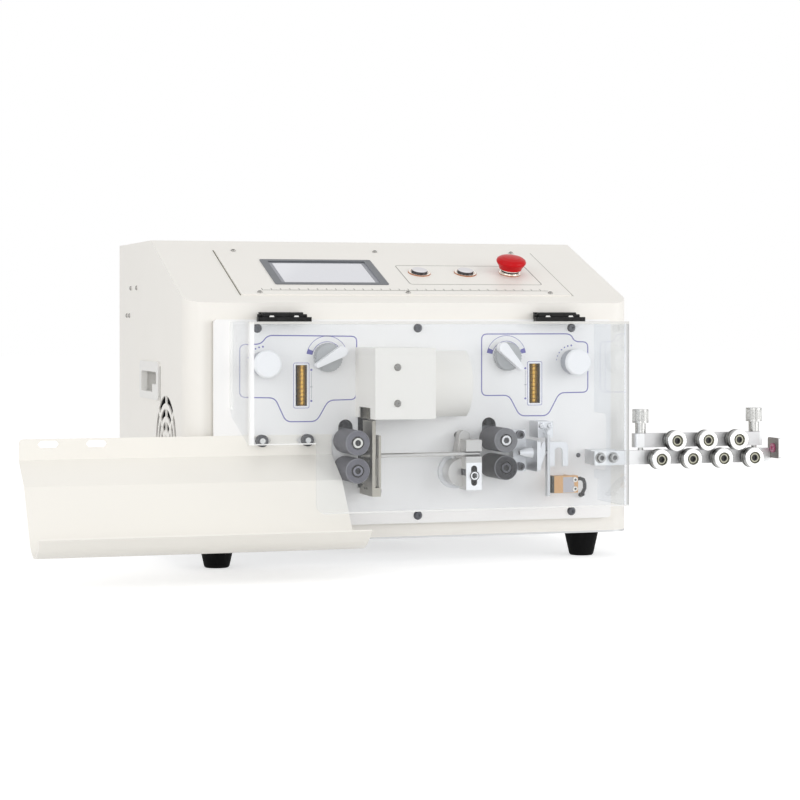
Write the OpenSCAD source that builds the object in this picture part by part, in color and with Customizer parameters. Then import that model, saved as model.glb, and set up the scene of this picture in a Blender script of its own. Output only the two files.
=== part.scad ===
// Bench-top wire cutting and stripping machine, with its front plate of feed rollers, blades and
// straightener, its hinged clear guard and its delivery tray.
// Machine frame: X from the left side, Y from the case front towards the back, Z from the floor.

/* [Case] */
// Width of the sheet-metal case
case_w = 490; // [470:5:560]
// Depth of the case
case_d = 380; // [340:5:460]
// Height of the upright front, from its bottom edge to the fold
front_h = 247; // [244:1:275]
// Height that the sloping deck gains over its run
deck_rise = 69; // [50:1:90]
// Horizontal run of the sloping deck
deck_run = 183; // [175:1:230]
// Sheet thickness of case, panels and tray
sheet_t = 1.5; // [1:0.1:2.5]
// Radius of the two upright front corners
corner_r = 20; // [8:1:26]
// Height of the rubber feet
foot_h = 27; // [18:1:40]
// Top diameter of a foot
foot_d = 36.5; // [26:0.5:40]

/* [Front plate] */
// Thickness of the front plate
plate_t = 8; // [6:0.5:12]
// Width of the front plate
plate_w = 436; // [430:1:450]
// Height of the front plate
plate_h = 213; // [210:1:222]
// Height of the plate's bottom edge above the case bottom
plate_up = 16.5; // [10:0.5:20]
// Distance of the plate's left edge from the case side
plate_x = 28; // [20:1:34]

/* [Wire path] */
// Height of the wire above the floor
wire_z = 117; // [114:0.5:120]
// Distance of the wire in front of the case
wire_out = 40; // [38:0.5:44]
// Bore of the guide tube and the nozzles
wire_bore = 3; // [2:0.5:4]

/* [Feed] */
// Distance of each roller pair from the middle of the plate
roller_side = 80; // [76:0.5:84]
// Diameter of a feed roller
roller_d = 25.6; // [22:0.2:26]
// Gap between the open rollers
roller_gap = 2.8; // [2.6:0.1:5]
// Length of a feed roller
roller_len = 48; // [42:1:52]
// Diameter of the roller shafts
shaft_d = 12; // [10:0.5:14]
// Distance from the swing arm's pivot to the roller shaft, across
arm_reach = 79; // [74:1:84]
// Height of the arm's pivot over the open roller shaft
arm_lift = 14; // [8:1:18]
// Teeth of a feed gear
gear_teeth = 8; // [8:4:12]

/* [Knobs] */
// Diameter of a pressure knob
pressure_knob_d = 28.5; // [24:0.5:32]
// Height of a pressure knob over the plate
pressure_knob_h = 20; // [14:1:24]
// Diameter of the skirt of a gap knob
gap_knob_d = 30; // [26:0.5:32]
// Length of the gap knob's bar handle
gap_bar = 37; // [32:0.5:40]

/* [Guard] */
// Thickness of the clear sheet
guard_t = 3; // [2:0.5:5]
// Depth of the guard in front of the plate
guard_depth = 88; // [86:1:100]
// Width of the guard
guard_w = 403; // [400:1:410]
// Height of the guard's front face
guard_h = 191; // [180:1:196]

/* [Cutter] */
// Width of the cutter cover's box
cover_w = 64; // [58:1:70]
// Depth of the cutter cover's box
cover_depth = 72; // [66:1:76]
// Height of the cutter cover
cover_h = 72; // [68:1:76]
// Width of the curved hood beside the box
hood_w = 50; // [40:1:56]
// Thickness of one blade
blade_t = 1.4; // [1:0.1:1.6]
// Width of a blade
blade_w = 20; // [16:1:24]

/* [Straightener] */
// Diameter of a straightening wheel
wheel_d = 22; // [19:0.5:23]
// Width of a straightening wheel
wheel_w = 12.6; // [11:0.2:13.5]
// Distance between wheels in a row
wheel_pitch = 36.4; // [34:0.2:40]
// Number of wheels in the upper row; the lower row has one more
upper_wheels = 3; // [3:1:3]
// Length of the lower bar
bar_len = 207; // [205:1:215]
// Height of the lower bar
bar_h = 15; // [12:0.5:16]
// Thickness of both bars
bar_t = 10; // [8:0.5:11]

/* [Tray] */
// Length of the delivery tray
tray_len = 321; // [300:1:322]
// Distance that the tray stands out to the left of the case
tray_out = 169; // [150:1:180]
// Height of the tray's upper edge above the floor
tray_top = 138; // [136:1:139]

/* [Deck] */
// Width of the deck panel
deck_w = 367; // [360:1:380]
// Length of the deck panel along the slope
deck_len = 143; // [138:1:146]
// Width of the screen's bezel
screen_w = 125; // [110:1:135]
// Height of the screen's bezel along the slope
screen_h = 79; // [70:1:84]
// Diameter of a push button's ring
button_d = 25; // [20:0.5:28]
// Diameter of the stop mushroom
stop_d = 33; // [28:0.5:40]

/* [Fan] */
// Size of the square fan
fan_size = 120; // [110:1:120]
// Depth of the fan
fan_depth = 25; // [20:1:32]

/* [Hidden] */
$fn = 64;
fit = 0.05;
gap = 0.3;
clear = 1;

// Case heights and the slope of the deck
base_t = 2;
case_z = foot_h;
fold_z = case_z + front_h;
top_z = fold_z + deck_rise;
slope = atan(deck_rise / deck_run);
slope_len = norm([deck_run, deck_rise]);
cream = "#F0EEE9";

// Front plate
plate_z = case_z + plate_up;
plate_top = plate_z + plate_h;
plate_mid = plate_x + plate_w / 2;
plate_face = -plate_t;
plate_r = 4;
wire_y = -wire_out;

// Feed mechanism. Sides are -1 for left and 1 for right, as seen from the front
sides = [-1, 1];
function roller_x(side) = plate_mid + side * roller_side;
roller_half = (roller_d + roller_gap) / 2;
upper_z = wire_z + roller_half;
lower_z = wire_z - roller_half;
roller_back = plate_face - 2;
roller_front = roller_back - roller_len;
close_travel = 2;
function pivot_x(side) = roller_x(side) + side * arm_reach;
pivot_z = upper_z + arm_lift;
arm_r = norm([arm_reach, arm_lift]);
arm_t = 8;
arm_y = 2;
close_angle = close_travel / arm_reach * 180 / PI;
slot_rise = 10;
gear_y = arm_y + arm_t + 2;
gear_w = 8;
gear_pitch_d = roller_d + roller_gap - close_travel + 0.6;
gear_module = gear_pitch_d / gear_teeth;
bearing_y = gear_y + gear_w + 4;
bearing_t = 6;
bearing_x0 = plate_mid - 190;
bearing_w = 380;
bearing_z0 = plate_z + 38;
bearing_h = 96;

// Knobs, windows and springs on the plate
guard_mid = plate_mid;
guard_x0 = guard_mid - guard_w / 2;
pressure_x = [guard_x0 + 35.5, guard_x0 + guard_w - 28.5];
pressure_z = plate_z + 167.5;
gap_x = [plate_mid - 98.5, plate_mid + 98.5];
gap_z = plate_z + 173.7;
knob_shaft_d = 8;
knob_seat = 0.4;
gap_pointer = [208.7, 313];
window_w = 12;
window_h = 42;
window_z = plate_z + 145;
window_x = [plate_mid - 126, plate_mid + 130.5];
spring_x = [window_x[0] + 4.5, window_x[1] + 4.5];
spring_d = 10;
spring_y = 7;
spring_z0 = pivot_z + 9;
spring_z1 = window_z + window_h / 2 + 4;
cam_r = 7;
cam_throw = 3;
cam_y = 3;
cam_t = 6;

// Guard and its hinges
guard_top = plate_top - 2;
guard_front = plate_face - guard_depth;
guard_back = plate_face - 0.6;
guard_z0 = guard_top - guard_h;
hinge_y = plate_face - 4;
hinge_z = guard_top + 5.5;
hinge_x = [plate_mid - 147.4, plate_mid + 153.8];
hinge_len = 56;
hinge_fixed_len = 44;
hinge_screw_y = hinge_y - 8.5;
hinge_screw_dx = [-13, 13];
hinge_pin_d = 4;
wing_notch_z0 = wire_z - 21;
wing_notch_z1 = wire_z + 40;

// Cutter cover, blade guide and carriers
cover_x = plate_mid - 68;
cover_z = wire_z + 38.7;
cover_front = plate_face - cover_depth;
hood_bulge = 22;
guide_x = plate_mid - 63.5;
guide_t = 3.4;
guide_front = -54;
guide_back = -20;
strip_x = guide_x + guide_t + 2 * blade_t + 1;
strip_t = 2;
blade_x0 = guide_x + guide_t + 0.3;
blade_y0 = wire_y - blade_w / 2;
carrier_x0 = guide_x + 0.5;
carrier_w = 7;
carrier_y0 = -49;
carrier_slot_w = carrier_w + 5;
blade_open = 7;
upper_carrier_z = cover_z - 1.5;
lower_carrier_z = wire_z - 31;
carrier_h = 11;
blade_travel = 8;
screw_x = carrier_x0 + carrier_w / 2;
screw_y = bearing_y + bearing_t + 13;
blade_screw_d = 10;
motor_z0 = cover_z + 42;

// Swinging guide tube
hub_x = plate_mid + 39.5;
hub_z = wire_z - 20;
hub_flange_d = 36;
hub_d = 28;
block_x = hub_x + 1;
block_w = 17;
block_y0 = wire_y - 6;
block_depth = 22;
block_z0 = hub_z - 17.5;
block_h = 52;
tube_d = 4.4;
sleeve_d = 6;
tube_x0 = strip_x + strip_t + 4;
pin_r = 38;
pin_a = 80;
pin_d = 5;
swing_a = 10;

// Wire inlet and run-out sensor
inlet_x = plate_mid + 115;
inlet_t = 4;
lever_x = plate_mid + 133;
lever_t = 3;
lever_depth = 6;
lever_z0 = wire_z - 46;
lever_z1 = wire_z + 25;
lever_pivot_z = wire_z + 21;
lever_pin_d = 3;
switch_x = lever_x + 6;
switch_w = 29;
switch_h = 18;
switch_t = 11;
switch_z = wire_z - 43.5;
switch_y = -38;

// Straightener
bar_x0 = plate_mid + 188;
bar_y0 = wire_y + 6;
wheel_y1 = bar_y0 - 2;
wheel_y0 = wheel_y1 - wheel_w;
bar_z = wire_z - 8 - bar_h / 2;
row_drop = 9.8;
axle_d = 8;
lower_wheel_x = bar_x0 + 72;
upper_wheel_x = lower_wheel_x + wheel_pitch / 2;
upper_bar_x = lower_wheel_x - 24.5;
upper_bar_len = (upper_wheels + 1) * wheel_pitch + 3.5;
upper_bar_z = bar_z + bar_h + 3;
thumb_x = [upper_bar_x + 8, upper_bar_x + upper_bar_len - 7.2];
thumb_d = 17.5;
thumb_h = 14.5;
thumb_stem_d = 11.5;
thumb_stem_h = 11;
thumb_screw_d = 6;
end_plate_t = 3;
end_plate_x = bar_x0 + bar_len;
end_plate_w = 25;
end_plate_h = 22;
eyelet_d = 10;

// Tray: its section from the fastening edge, down the slopes and through the trough to the lip
tray_x0 = -tray_out;
tray_y = plate_face - sheet_t;
tray_fold_z = tray_top - 21.3;
tray_bend = [-48.5, tray_top - 45];
trough_r = 42;
trough_y = -117.4;
trough_z = case_z + 4;
trough_a = 38.7;
lip_a = 45;
lip_len = 12;
tray_slot_len = 21;
tray_slot_w = 7;
tray_slot_z = tray_top - 5.5;
tray_slots = [-140, -92, 77, 125];
tray_knob_d = 12.5;

// Deck
deck_x = 63;
deck_s = 21;
deck_fix = 5.5;
screen_x = deck_x + 106;
screen_s = 90;
screen_rise = 0.8;
screen_body = 32;
button_x = [deck_x + deck_w - 153, deck_x + deck_w - 100];
button_s = 90;
button_cap_d = 17.8;
button_rise = 4.4;
button_ring_h = 1.2;
stop_x = deck_x + deck_w - 48;
stop_s = 90;
stop_ring_d = 24.5;
stop_neck_d = 19.5;
stop_neck_h = 5.2;
stop_stem_d = 12;

// Sides, back and inside
fan_y = 99.5;
fan_z = case_z + 92.5;
fan_slot_r = 56;
fan_slot_w = 8;
fan_ring_pitch = 13.9;
fan_hole = 105;
handle_y = 187;
handle_z = case_z + 163;
handle_len = 108;
handle_h = 41;
handle_depth = 24;
rear_flange = 14;
inlet_flange_t = 2.5;
rocker_tilt = 6;
rocker_tip = [6.2, 6.6];
mains_x = 95;
mains_z = case_z + 62;
rocker_x = mains_x;
rocker_z = mains_z + 14;
rocker_y = case_d + sheet_t - 3.5;
psu = [(case_w - 90) / 2, 115, 50];
board = [(case_w - 90) / 2, 150, 1.6];

// Origin: the middle of the footprint of the whole machine, on the floor
lip_tip = trough_mid(-90 - lip_a) + lip_len * [-cos(lip_a), sin(lip_a)];
rocker_tip_y = rocker_y + rocker_tip[0] * cos(rocker_tilt) + rocker_tip[1] * sin(rocker_tilt);
mid_x = (tray_x0 + end_plate_x + end_plate_t) / 2;
mid_y = (lip_tip[0] - sheet_t / 2 + rocker_tip_y) / 2;

function polar(r, a) = [r * cos(a), r * sin(a)];
function trough_mid(a) = [trough_y, trough_z + trough_r] + polar(trough_r - sheet_t / 2, a);

// Helpers
module placed() translate([-mid_x, -mid_y, 0]) children();
module block(x0, x1, y0, y1, z0, z1) translate([x0, y0, z0]) cube([x1 - x0, y1 - y0, z1 - z0]);
module rod_x(x0, x1, y, z, d) translate([x0, y, z]) rotate([0, 90, 0]) cylinder(d = d, h = x1 - x0);
module rod_y(y0, y1, x, z, d) translate([x, y1, z]) rotate([90, 0, 0]) cylinder(d = d, h = y1 - y0);
module rod_z(z0, z1, x, y, d) translate([x, y, z0]) cylinder(d = d, h = z1 - z0);
module in_xz(y0, y1) translate([0, y1, 0]) rotate([90, 0, 0]) linear_extrude(y1 - y0) children();
module in_yz(x0, x1) translate([x0, 0, 0]) rotate([90, 0, 90]) linear_extrude(x1 - x0) children();
module in_xy(z0, z1) translate([0, 0, z0]) linear_extrude(z1 - z0) children();
module on_deck(x, s) translate([x, 0, fold_z]) rotate([slope, 0, 0]) translate([0, s, 0]) children();
module facing_front(x, y, z) translate([x, y, z]) rotate([90, 0, 0]) children();

// Rectangle of width w and height h, centred, with corners of radius r
module rounded(w, h, r) {
    square([w - 2 * r, h], center = true);
    square([w, h - 2 * r], center = true);
    for (x = [-1, 1], y = [-1, 1]) translate([x * (w / 2 - r), y * (h / 2 - r)]) circle(r);
}

// Slot with round ends: l over both ends, w wide
module slot(l, w) {
    square([l - w, w], center = true);
    for (x = [-1, 1]) translate([x * (l - w) / 2, 0]) circle(d = w);
}

// Slot of width w along an arc of radius r about the origin, with round ends
function arc_points(c, r, a0, a1, n) = [for (i = [0 : n]) c + polar(r, a0 + (a1 - a0) * i / n)];
module arc_slot(r, w, a0, a1) polygon(concat(arc_points([0, 0], r + w / 2, a0, a1, 8),
    arc_points(polar(r, a1), w / 2, a1 + 15, a1 + 165, 10),
    arc_points([0, 0], r - w / 2, a1, a0, 8),
    arc_points(polar(r, a0), w / 2, a0 - 165, a0 - 15, 10)));

// Outline round two circles at a distance l: r0 at the left and r1 at the right
module teardrop(r0, r1, l) {
    a = acos((r0 - r1) / l);
    polygon(concat(arc_points([0, 0], r0, a, 360 - a, 18), arc_points([l, 0], r1, -a, a, 10)));
}

// Sheet of thickness t whose middle line runs through the points p
function side_of(p, i, t) = let (v = unit(p[max(i, 1)] - p[max(i, 1) - 1]),
    w = unit(p[min(i, len(p) - 2) + 1] - p[min(i, len(p) - 2)]),
    u = unit(v + w)) t / 2 / (u * v) * [-u[1], u[0]];
module sheet_line(p, t) polygon(concat([for (i = [0 : len(p) - 1]) p[i] + side_of(p, i, t)],
    [for (i = [len(p) - 1 : -1 : 0]) p[i] - side_of(p, i, t)]));

// Disc of radius r whose rim carries n ribs with grooves of depth d between them
module ribbed(r, d, n) polygon([for (k = [0 : n - 1], s = [[0.1, 0], [0.4, 0], [0.6, 1], [0.9, 1]])
    polar(r - d * s[1], (k + s[0]) * 360 / n)]);

// Screw with a cylindrical socket head; the head's top looks towards +Z and it seats at z = 0
module cap_screw(d, shank) {
    head_d = 1.7 * d;
    difference() {
        cylinder(d = head_d, h = d);
        translate([0, 0, d / 2]) cylinder(d = d, h = d, $fn = 6);
    }
    translate([0, 0, -shank]) cylinder(d = d, h = shank);
}

// Screw with a low round head
module button_screw(d, shank) {
    difference() {
        cylinder(d1 = 1.9 * d, d2 = 1.3 * d, h = 0.5 * d);
        translate([0, 0, 0.25 * d]) cylinder(d = 0.7 * d, h = d, $fn = 6);
    }
    translate([0, 0, -shank]) cylinder(d = d, h = shank);
}

// Case: outer form of the cover, moved inwards by i
module case_form(i, z0, y1) {
    inner_fold = fold_z + i * tan(slope) - i / cos(slope);
    inner_top_y = (top_z - i - fold_z + i / cos(slope)) / tan(slope);
    intersection() {
        in_yz(i, case_w - i)
            polygon([[i, z0], [i, inner_fold], [inner_top_y, top_z - i], [y1, top_z - i], [y1, z0]]);
        in_xy(z0, top_z) case_plan(i, y1);
    }
}

module case_plan(i, y1) {
    r = corner_r - i;
    translate([i, corner_r]) square([case_w - 2 * i, y1 - corner_r]);
    translate([corner_r, i]) square([case_w - 2 * corner_r, corner_r]);
    for (x = [corner_r, case_w - corner_r]) translate([x, corner_r]) circle(r);
}

module fan_grille() {
    for (k = [0 : 3]) {
        r = fan_slot_r - k * fan_ring_pitch;
        difference() {
            circle(r);
            circle(r - fan_slot_w);
            for (a = [0 : 45 : 135]) rotate(a) square([5, 3 * fan_slot_r], center = true);
        }
    }
}

module vent_rows(n, l, pitch) for (i = [0 : n - 1]) translate([0, (i - (n - 1) / 2) * pitch]) slot(l, 5);

handle_cut = [handle_len - 10, handle_h - 10];
module handle_hole() translate([handle_y, handle_z]) rounded(handle_cut[0], handle_cut[1], 5);
side_screws = [[305, 265], [269, 265], [330, 233.6], [314, 233.6]];
rear_screws_x = [30, case_w / 2, case_w - 30];
rear_screws_z = [case_z + base_t + rear_flange / 2, top_z - rear_flange / 2];
plate_screws_x = [plate_mid - 172.5, plate_mid, plate_mid + 172.5];
plate_screws_z = [plate_z + 8, plate_top - 9];
screw_hole = 4.4;

module case_shell() placed() color(cream) {
    z0 = case_z + base_t;
    difference() {
        case_form(0, z0, case_d);
        case_form(sheet_t, z0 - clear, case_d - sheet_t);
        block(rear_flange, case_w - rear_flange, case_d - 2 * sheet_t, case_d + clear,
            z0 + rear_flange, top_z - rear_flange);
        block(plate_x + 12, plate_x + plate_w - 12, -clear, 2 * sheet_t,
            plate_z + 16, plate_top - 18);
        on_deck(deck_x + deck_w / 2, deck_s + deck_len / 2)
            translate([0, 0, -5]) linear_extrude(10) rounded(deck_w - 26, deck_len - 26, 4);
        in_yz(-clear, 2 * sheet_t) translate([fan_y, fan_z]) fan_grille();
        in_yz(-clear, case_w + clear) handle_hole();
        in_yz(case_w - 2 * sheet_t, case_w + clear) translate([fan_y, fan_z]) vent_rows(7, 80, 12);
        for (p = side_screws) rod_x(-clear, case_w + clear, p[0], case_z + p[1], 3.4);
        for (x = rear_screws_x, z = rear_screws_z) rod_y(case_d - 3, case_d + clear, x, z, screw_hole);
        for (x = plate_screws_x, z = plate_screws_z) rod_y(-clear, 3, x, z, 5.4);
        for (p = deck_screw_points)
            on_deck(p[0], p[1]) translate([0, 0, -5]) cylinder(d = 3.4, h = 10);
    }
}

deck_screw_points = [
    for (s = [deck_s + deck_fix, deck_s + deck_len - deck_fix], x = [0, 1, 2])
        [deck_x + 21 + x * (deck_w - 44) / 2, s]
];

foot_x = [40, case_w - 44];
foot_y = [32, case_d - 32];

module base_plate() placed() color("#D8D7D3") {
    difference() {
        union() {
            in_xy(case_z, case_z + base_t) case_plan(0, case_d);
            for (x = [sheet_t + gap, case_w - 2 * sheet_t - gap])
                block(x, x + sheet_t, corner_r + 5, case_d - 20, case_z + base_t - 0.1, case_z + 20);
        }
        for (x = foot_x, y = foot_y) rod_z(case_z - clear, case_z + 5, x, y, 5.2);
        in_xy(case_z - clear, case_z + 5) translate([case_w / 2, case_d / 2]) vent_rows(9, 120, 14);
    }
}

module rear_panel() placed() color(cream) {
    y = case_d;
    difference() {
        in_xz(y, y + sheet_t) translate([case_w / 2, (case_z + top_z) / 2])
            rounded(case_w - 2, top_z - case_z - 2, 3);
        for (x = rear_screws_x, z = rear_screws_z) rod_y(y - 3, y + 5, x, z, screw_hole);
        in_xz(y - clear, y + 5) translate([mains_x, mains_z]) square([28, 48], center = true);
        in_xz(y - clear, y + 5) translate([case_w * 0.62, case_z + 210]) vent_rows(6, 150, 12);
        in_xz(y - clear, y + 5) translate([case_w * 0.62, case_z + 60]) vent_rows(6, 150, 12);
    }
}

module feet() placed() color("#1B1B1C") for (x = foot_x, y = foot_y) translate([x, y, 0])
    rotate_extrude() polygon([[3.5, 5], [3.5, 8], [2.6, 8], [2.6, foot_h], [foot_d / 2, foot_h],
        [foot_d / 2, foot_h - 3], [foot_d / 2 - 5, 1.5], [foot_d / 2 - 6.3, 0], [8, 0], [8, 5]]);

module foot_bolts() for (x = foot_x, y = foot_y) translate([x, y, 5]) {
    difference() {
        translate([0, 0, -3]) cylinder(d = 9, h = 3);
        translate([0, 0, -4]) cylinder(d = 4, h = 3, $fn = 6);
    }
    cylinder(d = 5, h = foot_h - 5 + base_t);
    translate([0, 0, foot_h - 5 + base_t]) cylinder(d = 9, h = 4, $fn = 6);
}

// Every fastener of the case, the deck, the front plate, the fan, the feet and the cutter cover
module screws() placed() color("#9A9A9C") {
    for (p = deck_screw_points) on_deck(p[0], p[1]) translate([0, 0, sheet_t]) button_screw(3, 6);
    for (p = side_screws) {
        translate([0, p[0], case_z + p[1]]) rotate([0, -90, 0]) button_screw(3, 5);
        translate([case_w, p[0], case_z + p[1]]) rotate([0, 90, 0]) button_screw(3, 5);
    }
    for (x = rear_screws_x, z = rear_screws_z)
        translate([x, case_d + sheet_t, z]) rotate([-90, 0, 0]) button_screw(4, 6);
    for (x = plate_screws_x, z = plate_screws_z) facing_front(x, plate_face, z) button_screw(5, 12);
    facing_front(plate_mid + 180.5, plate_face, wire_z - 6) button_screw(2.6, 6);
    for (y = [-1, 1], z = [-1, 1])
        translate([sheet_t, fan_y + y * fan_hole / 2, fan_z + z * fan_hole / 2])
            rotate([0, 90, 0]) {
                cylinder(d = 4, h = fan_depth + 5);
                translate([0, 0, fan_depth]) cylinder(d = 8, h = 3.2, $fn = 6);
            }
    for (z = cover_screws_z) facing_front(cover_x + 23.5, cover_front, z) button_screw(4, 6);
    foot_bolts();
}

// Outline of the pocket, smaller by i all round, with a step that clears the fan's corner
module handle_pocket(i) difference() {
    translate([handle_y, handle_z]) rounded(handle_cut[0] - 2 * i, handle_cut[1] - 2 * i, 4);
    translate([fan_y - fan_size / 2, fan_z - fan_size / 2]) square(fan_size + 2 * (i + gap));
}

module carry_handles() placed() color("#B4B5B8")
    for (side = sides) translate([side < 0 ? 0 : case_w, 0, 0]) mirror([side < 0 ? 0 : 1, 0, 0])
        difference() {
            union() {
                in_yz(-2, 0) translate([handle_y, handle_z]) rounded(handle_len, handle_h, 6);
                in_yz(-0.1, handle_depth) handle_pocket(0.5);
            }
            in_yz(-3, handle_depth - 2) intersection() {
                handle_pocket(3);
                translate([handle_y, handle_z - 2]) rounded(handle_len - 22, handle_h - 18, 4);
            }
            in_yz(5, handle_depth - 2) handle_pocket(3);
        }

module deck_panel() placed() color("#EDECEA") difference() {
    on_deck(deck_x + deck_w / 2, deck_s + deck_len / 2) linear_extrude(sheet_t)
        rounded(deck_w, deck_len, 3);
    on_deck(screen_x, screen_s) translate([0, 0, -1]) linear_extrude(5)
        square([screen_w - 6, screen_h - 6], center = true);
    for (x = button_x) on_deck(x, button_s) translate([0, 0, -1]) cylinder(d = button_hole_d, h = 5);
    on_deck(stop_x, stop_s) translate([0, 0, -1]) cylinder(d = button_hole_d, h = 5);
    for (p = deck_screw_points) on_deck(p[0], p[1]) translate([0, 0, -5]) cylinder(d = 3.4, h = 10);
}

button_hole_d = 22;

// Touch screen: a bezel in front of the deck panel, its housing behind, and the screen's glass
module screen_unit() placed() color("#6A6C70") on_deck(screen_x, screen_s) {
    face = sheet_t + screen_rise;
    active = [101, 62];
    difference() {
        union() {
            translate([0, 0, sheet_t]) linear_extrude(screen_rise) rounded(screen_w, screen_h, 2);
            translate([0, 0, -screen_body]) linear_extrude(screen_body + sheet_t + 0.1)
                square([screen_w - 7, screen_h - 7], center = true);
        }
        translate([0, 0, face - 1.2]) linear_extrude(3) rounded(active[0] + 8, active[1] + 6, 1.5);
        translate([0, 0, face - 3]) linear_extrude(4) square(active, center = true);
    }
    translate([0, 0, face - 3]) linear_extrude(1.5) square([active[0] - 0.6, active[1] - 0.6],
        center = true);
}

// Rings and bodies of the two push buttons, and the collar and body of the stop button
module control_collars() placed() color("#C9CACC") {
    for (x = button_x) on_deck(x, button_s) collar(button_d, button_cap_d);
    on_deck(stop_x, stop_s) collar(stop_ring_d, stop_stem_d)
        cylinder(d = stop_neck_d, h = stop_neck_h);
}

module collar(d, bore) translate([0, 0, sheet_t]) difference() {
    union() {
        rotate_extrude() polygon([[0, -30], [button_hole_d / 2 - gap, -30], [button_hole_d / 2 - gap, 0],
            [d / 2, 0], [d / 2, button_ring_h - 0.6], [d / 2 - 0.6, button_ring_h], [0, button_ring_h]]);
        children();
    }
    translate([0, 0, -9]) cylinder(d = bore + 2 * gap, h = 40);
}

module push_button(x) placed() color("#D9DADC") on_deck(x, button_s) translate([0, 0, sheet_t])
    rotate_extrude() polygon([[0, -4], [button_cap_d / 2, -4], [button_cap_d / 2, button_rise - 1.5],
        [button_cap_d / 2 - 0.7, button_rise - 0.7], [button_cap_d / 2 - 3.5, button_rise - 0.2],
        [0, button_rise]]);
module push_button_left() push_button(button_x[0]);
module push_button_right() push_button(button_x[1]);

module stop_button() placed() color("#C8151B") on_deck(stop_x, stop_s)
    translate([0, 0, sheet_t]) {
        r = stop_d / 2;
        skirt = stop_neck_d / 2 + 0.75;
        rotate_extrude() polygon([[0, -5], [stop_stem_d / 2, -5], [stop_stem_d / 2, 12], [skirt, 12],
            [skirt, 5.6], [skirt + 1.8, 5.6], [skirt + 2.6, 8], [r - 1.4, 11], [r - 0.2, 12.8],
            [r, 14.4], [r - 0.8, 16.3], [r - 3, 17.8], [r - 7.5, 19.2], [r - 12, 19.8], [0, 20]]);
    }

// Mains inlet with its switch opening, in the rear panel
module mains_inlet() placed() color("#202123") {
    y = case_d + sheet_t;
    difference() {
        union() {
            in_xz(y, y + inlet_flange_t) translate([mains_x, mains_z]) rounded(34, 60, 3);
            in_xz(y - 28, y + 0.1) translate([mains_x, mains_z]) square([27.4, 47.4], center = true);
        }
        in_xz(y - 20, y + 5) translate([mains_x, mains_z - 10]) rounded(22, 18, 2);
        in_xz(y - 12, y + 5) translate([rocker_x, rocker_z]) square([21.4, 15.4], center = true);
        for (x = [-14]) rod_y(y - 3, y + 5, mains_x, mains_z + 27.5, 3);
    }
    for (p = [[-7, -12], [7, -12], [0, -8]])
        in_xz(y - 20.1, y - 4) translate([mains_x + p[0], mains_z + p[1]]) square([2, 4], center = true);
}

module power_rocker() placed() color("#141416") translate([rocker_x, rocker_y, rocker_z])
    rotate([rocker_tilt, 0, 0]) in_yz(-10, 10) {
        polygon([[-2, -6.9], [4, -6.9], [rocker_tip[0], -rocker_tip[1]], [4.8, 0], rocker_tip,
            [4, 6.9], [-2, 6.9]]);
        circle(3.4);
    }

// Axial fan behind the grille: square frame, five blades
module fan_frame() placed() color("#2A2A2C") difference() {
    x0 = sheet_t;
    union() {
        difference() {
            in_yz(x0, x0 + fan_depth) translate([fan_y, fan_z]) rounded(fan_size, fan_size, 6);
            rod_x(x0 - clear, x0 + fan_depth + clear, fan_y, fan_z, fan_size - 4);
        }
        in_yz(x0 + fan_depth - 4, x0 + fan_depth) translate([fan_y, fan_z]) {
            circle(21);
            for (a = [45 : 90 : 315]) rotate(a) translate([40, 0]) square([50, 5], center = true);
        }
        rod_x(x0 + 12, x0 + fan_depth - 2, fan_y, fan_z, 5);
    }
    for (y = [-1, 1], z = [-1, 1])
        rod_x(-clear, x0 + fan_depth + clear, fan_y + y * fan_hole / 2, fan_z + z * fan_hole / 2, 4.2);
}

module fan_rotor() placed() color("#303033") {
    x0 = sheet_t + 2;
    hub = 40;
    difference() {
        union() {
            rod_x(x0, x0 + fan_depth - 7, fan_y, fan_z, hub);
            for (a = [0 : 72 : 359]) translate([x0 + 1.5, fan_y, fan_z]) rotate([a, 0, 0])
                intersection() {
                    rotate([0, 0, 38]) translate([-1, -9, 10]) cube([2.2, 26, fan_size / 2 - 14]);
                    rod_x(0, fan_depth - 10, 0, 0, fan_size - 7);
                }
        }
        rod_x(x0 + 8, x0 + fan_depth, fan_y, fan_z, 5 + 2 * fit);
    }
}

// Closed inner boxes: power supply and the controller board
module power_supply() placed() color("#B9BBBD") {
    x = case_w - 56 - psu[0];
    y = case_d - 30 - psu[1];
    difference() {
        block(x, x + psu[0], y, y + psu[1], case_z + base_t, case_z + base_t + psu[2]);
        in_xy(case_z + base_t + psu[2] - 1.2, case_z + base_t + psu[2] + 1)
            translate([x + psu[0] / 2, y + psu[1] / 2]) vent_rows(8, 150, 12);
    }
}

module control_board() placed() {
    x = 30;
    y = 165;
    z = case_z + base_t + 14;
    color("#2F6B3C") difference() {
        block(x, x + board[0], y, y + board[1], z, z + board[2]);
        for (p = board_posts(x, y)) rod_z(z - 1, z + 5, p[0], p[1], 3.2);
    }
    color("#C8C9CB") for (p = board_posts(x, y)) rod_z(case_z + base_t, z, p[0], p[1], 7);
    color("#222326") {
        block(x + 60, x + 90, y + 50, y + 80, z + board[2], z + board[2] + 4);
        for (i = [0 : 3]) block(x + 20 + i * 38, x + 48 + i * 38, y + 120, y + 140,
            z + board[2], z + board[2] + 14);
        for (i = [0 : 2]) rod_z(z + board[2], z + board[2] + 22, x + board[0] * 0.65 + i * 18, y + 30, 16);
    }
}
function board_posts(x, y) = [for (i = [8, board[0] - 8], j = [8, board[1] - 8]) [x + i, y + j]];

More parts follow.
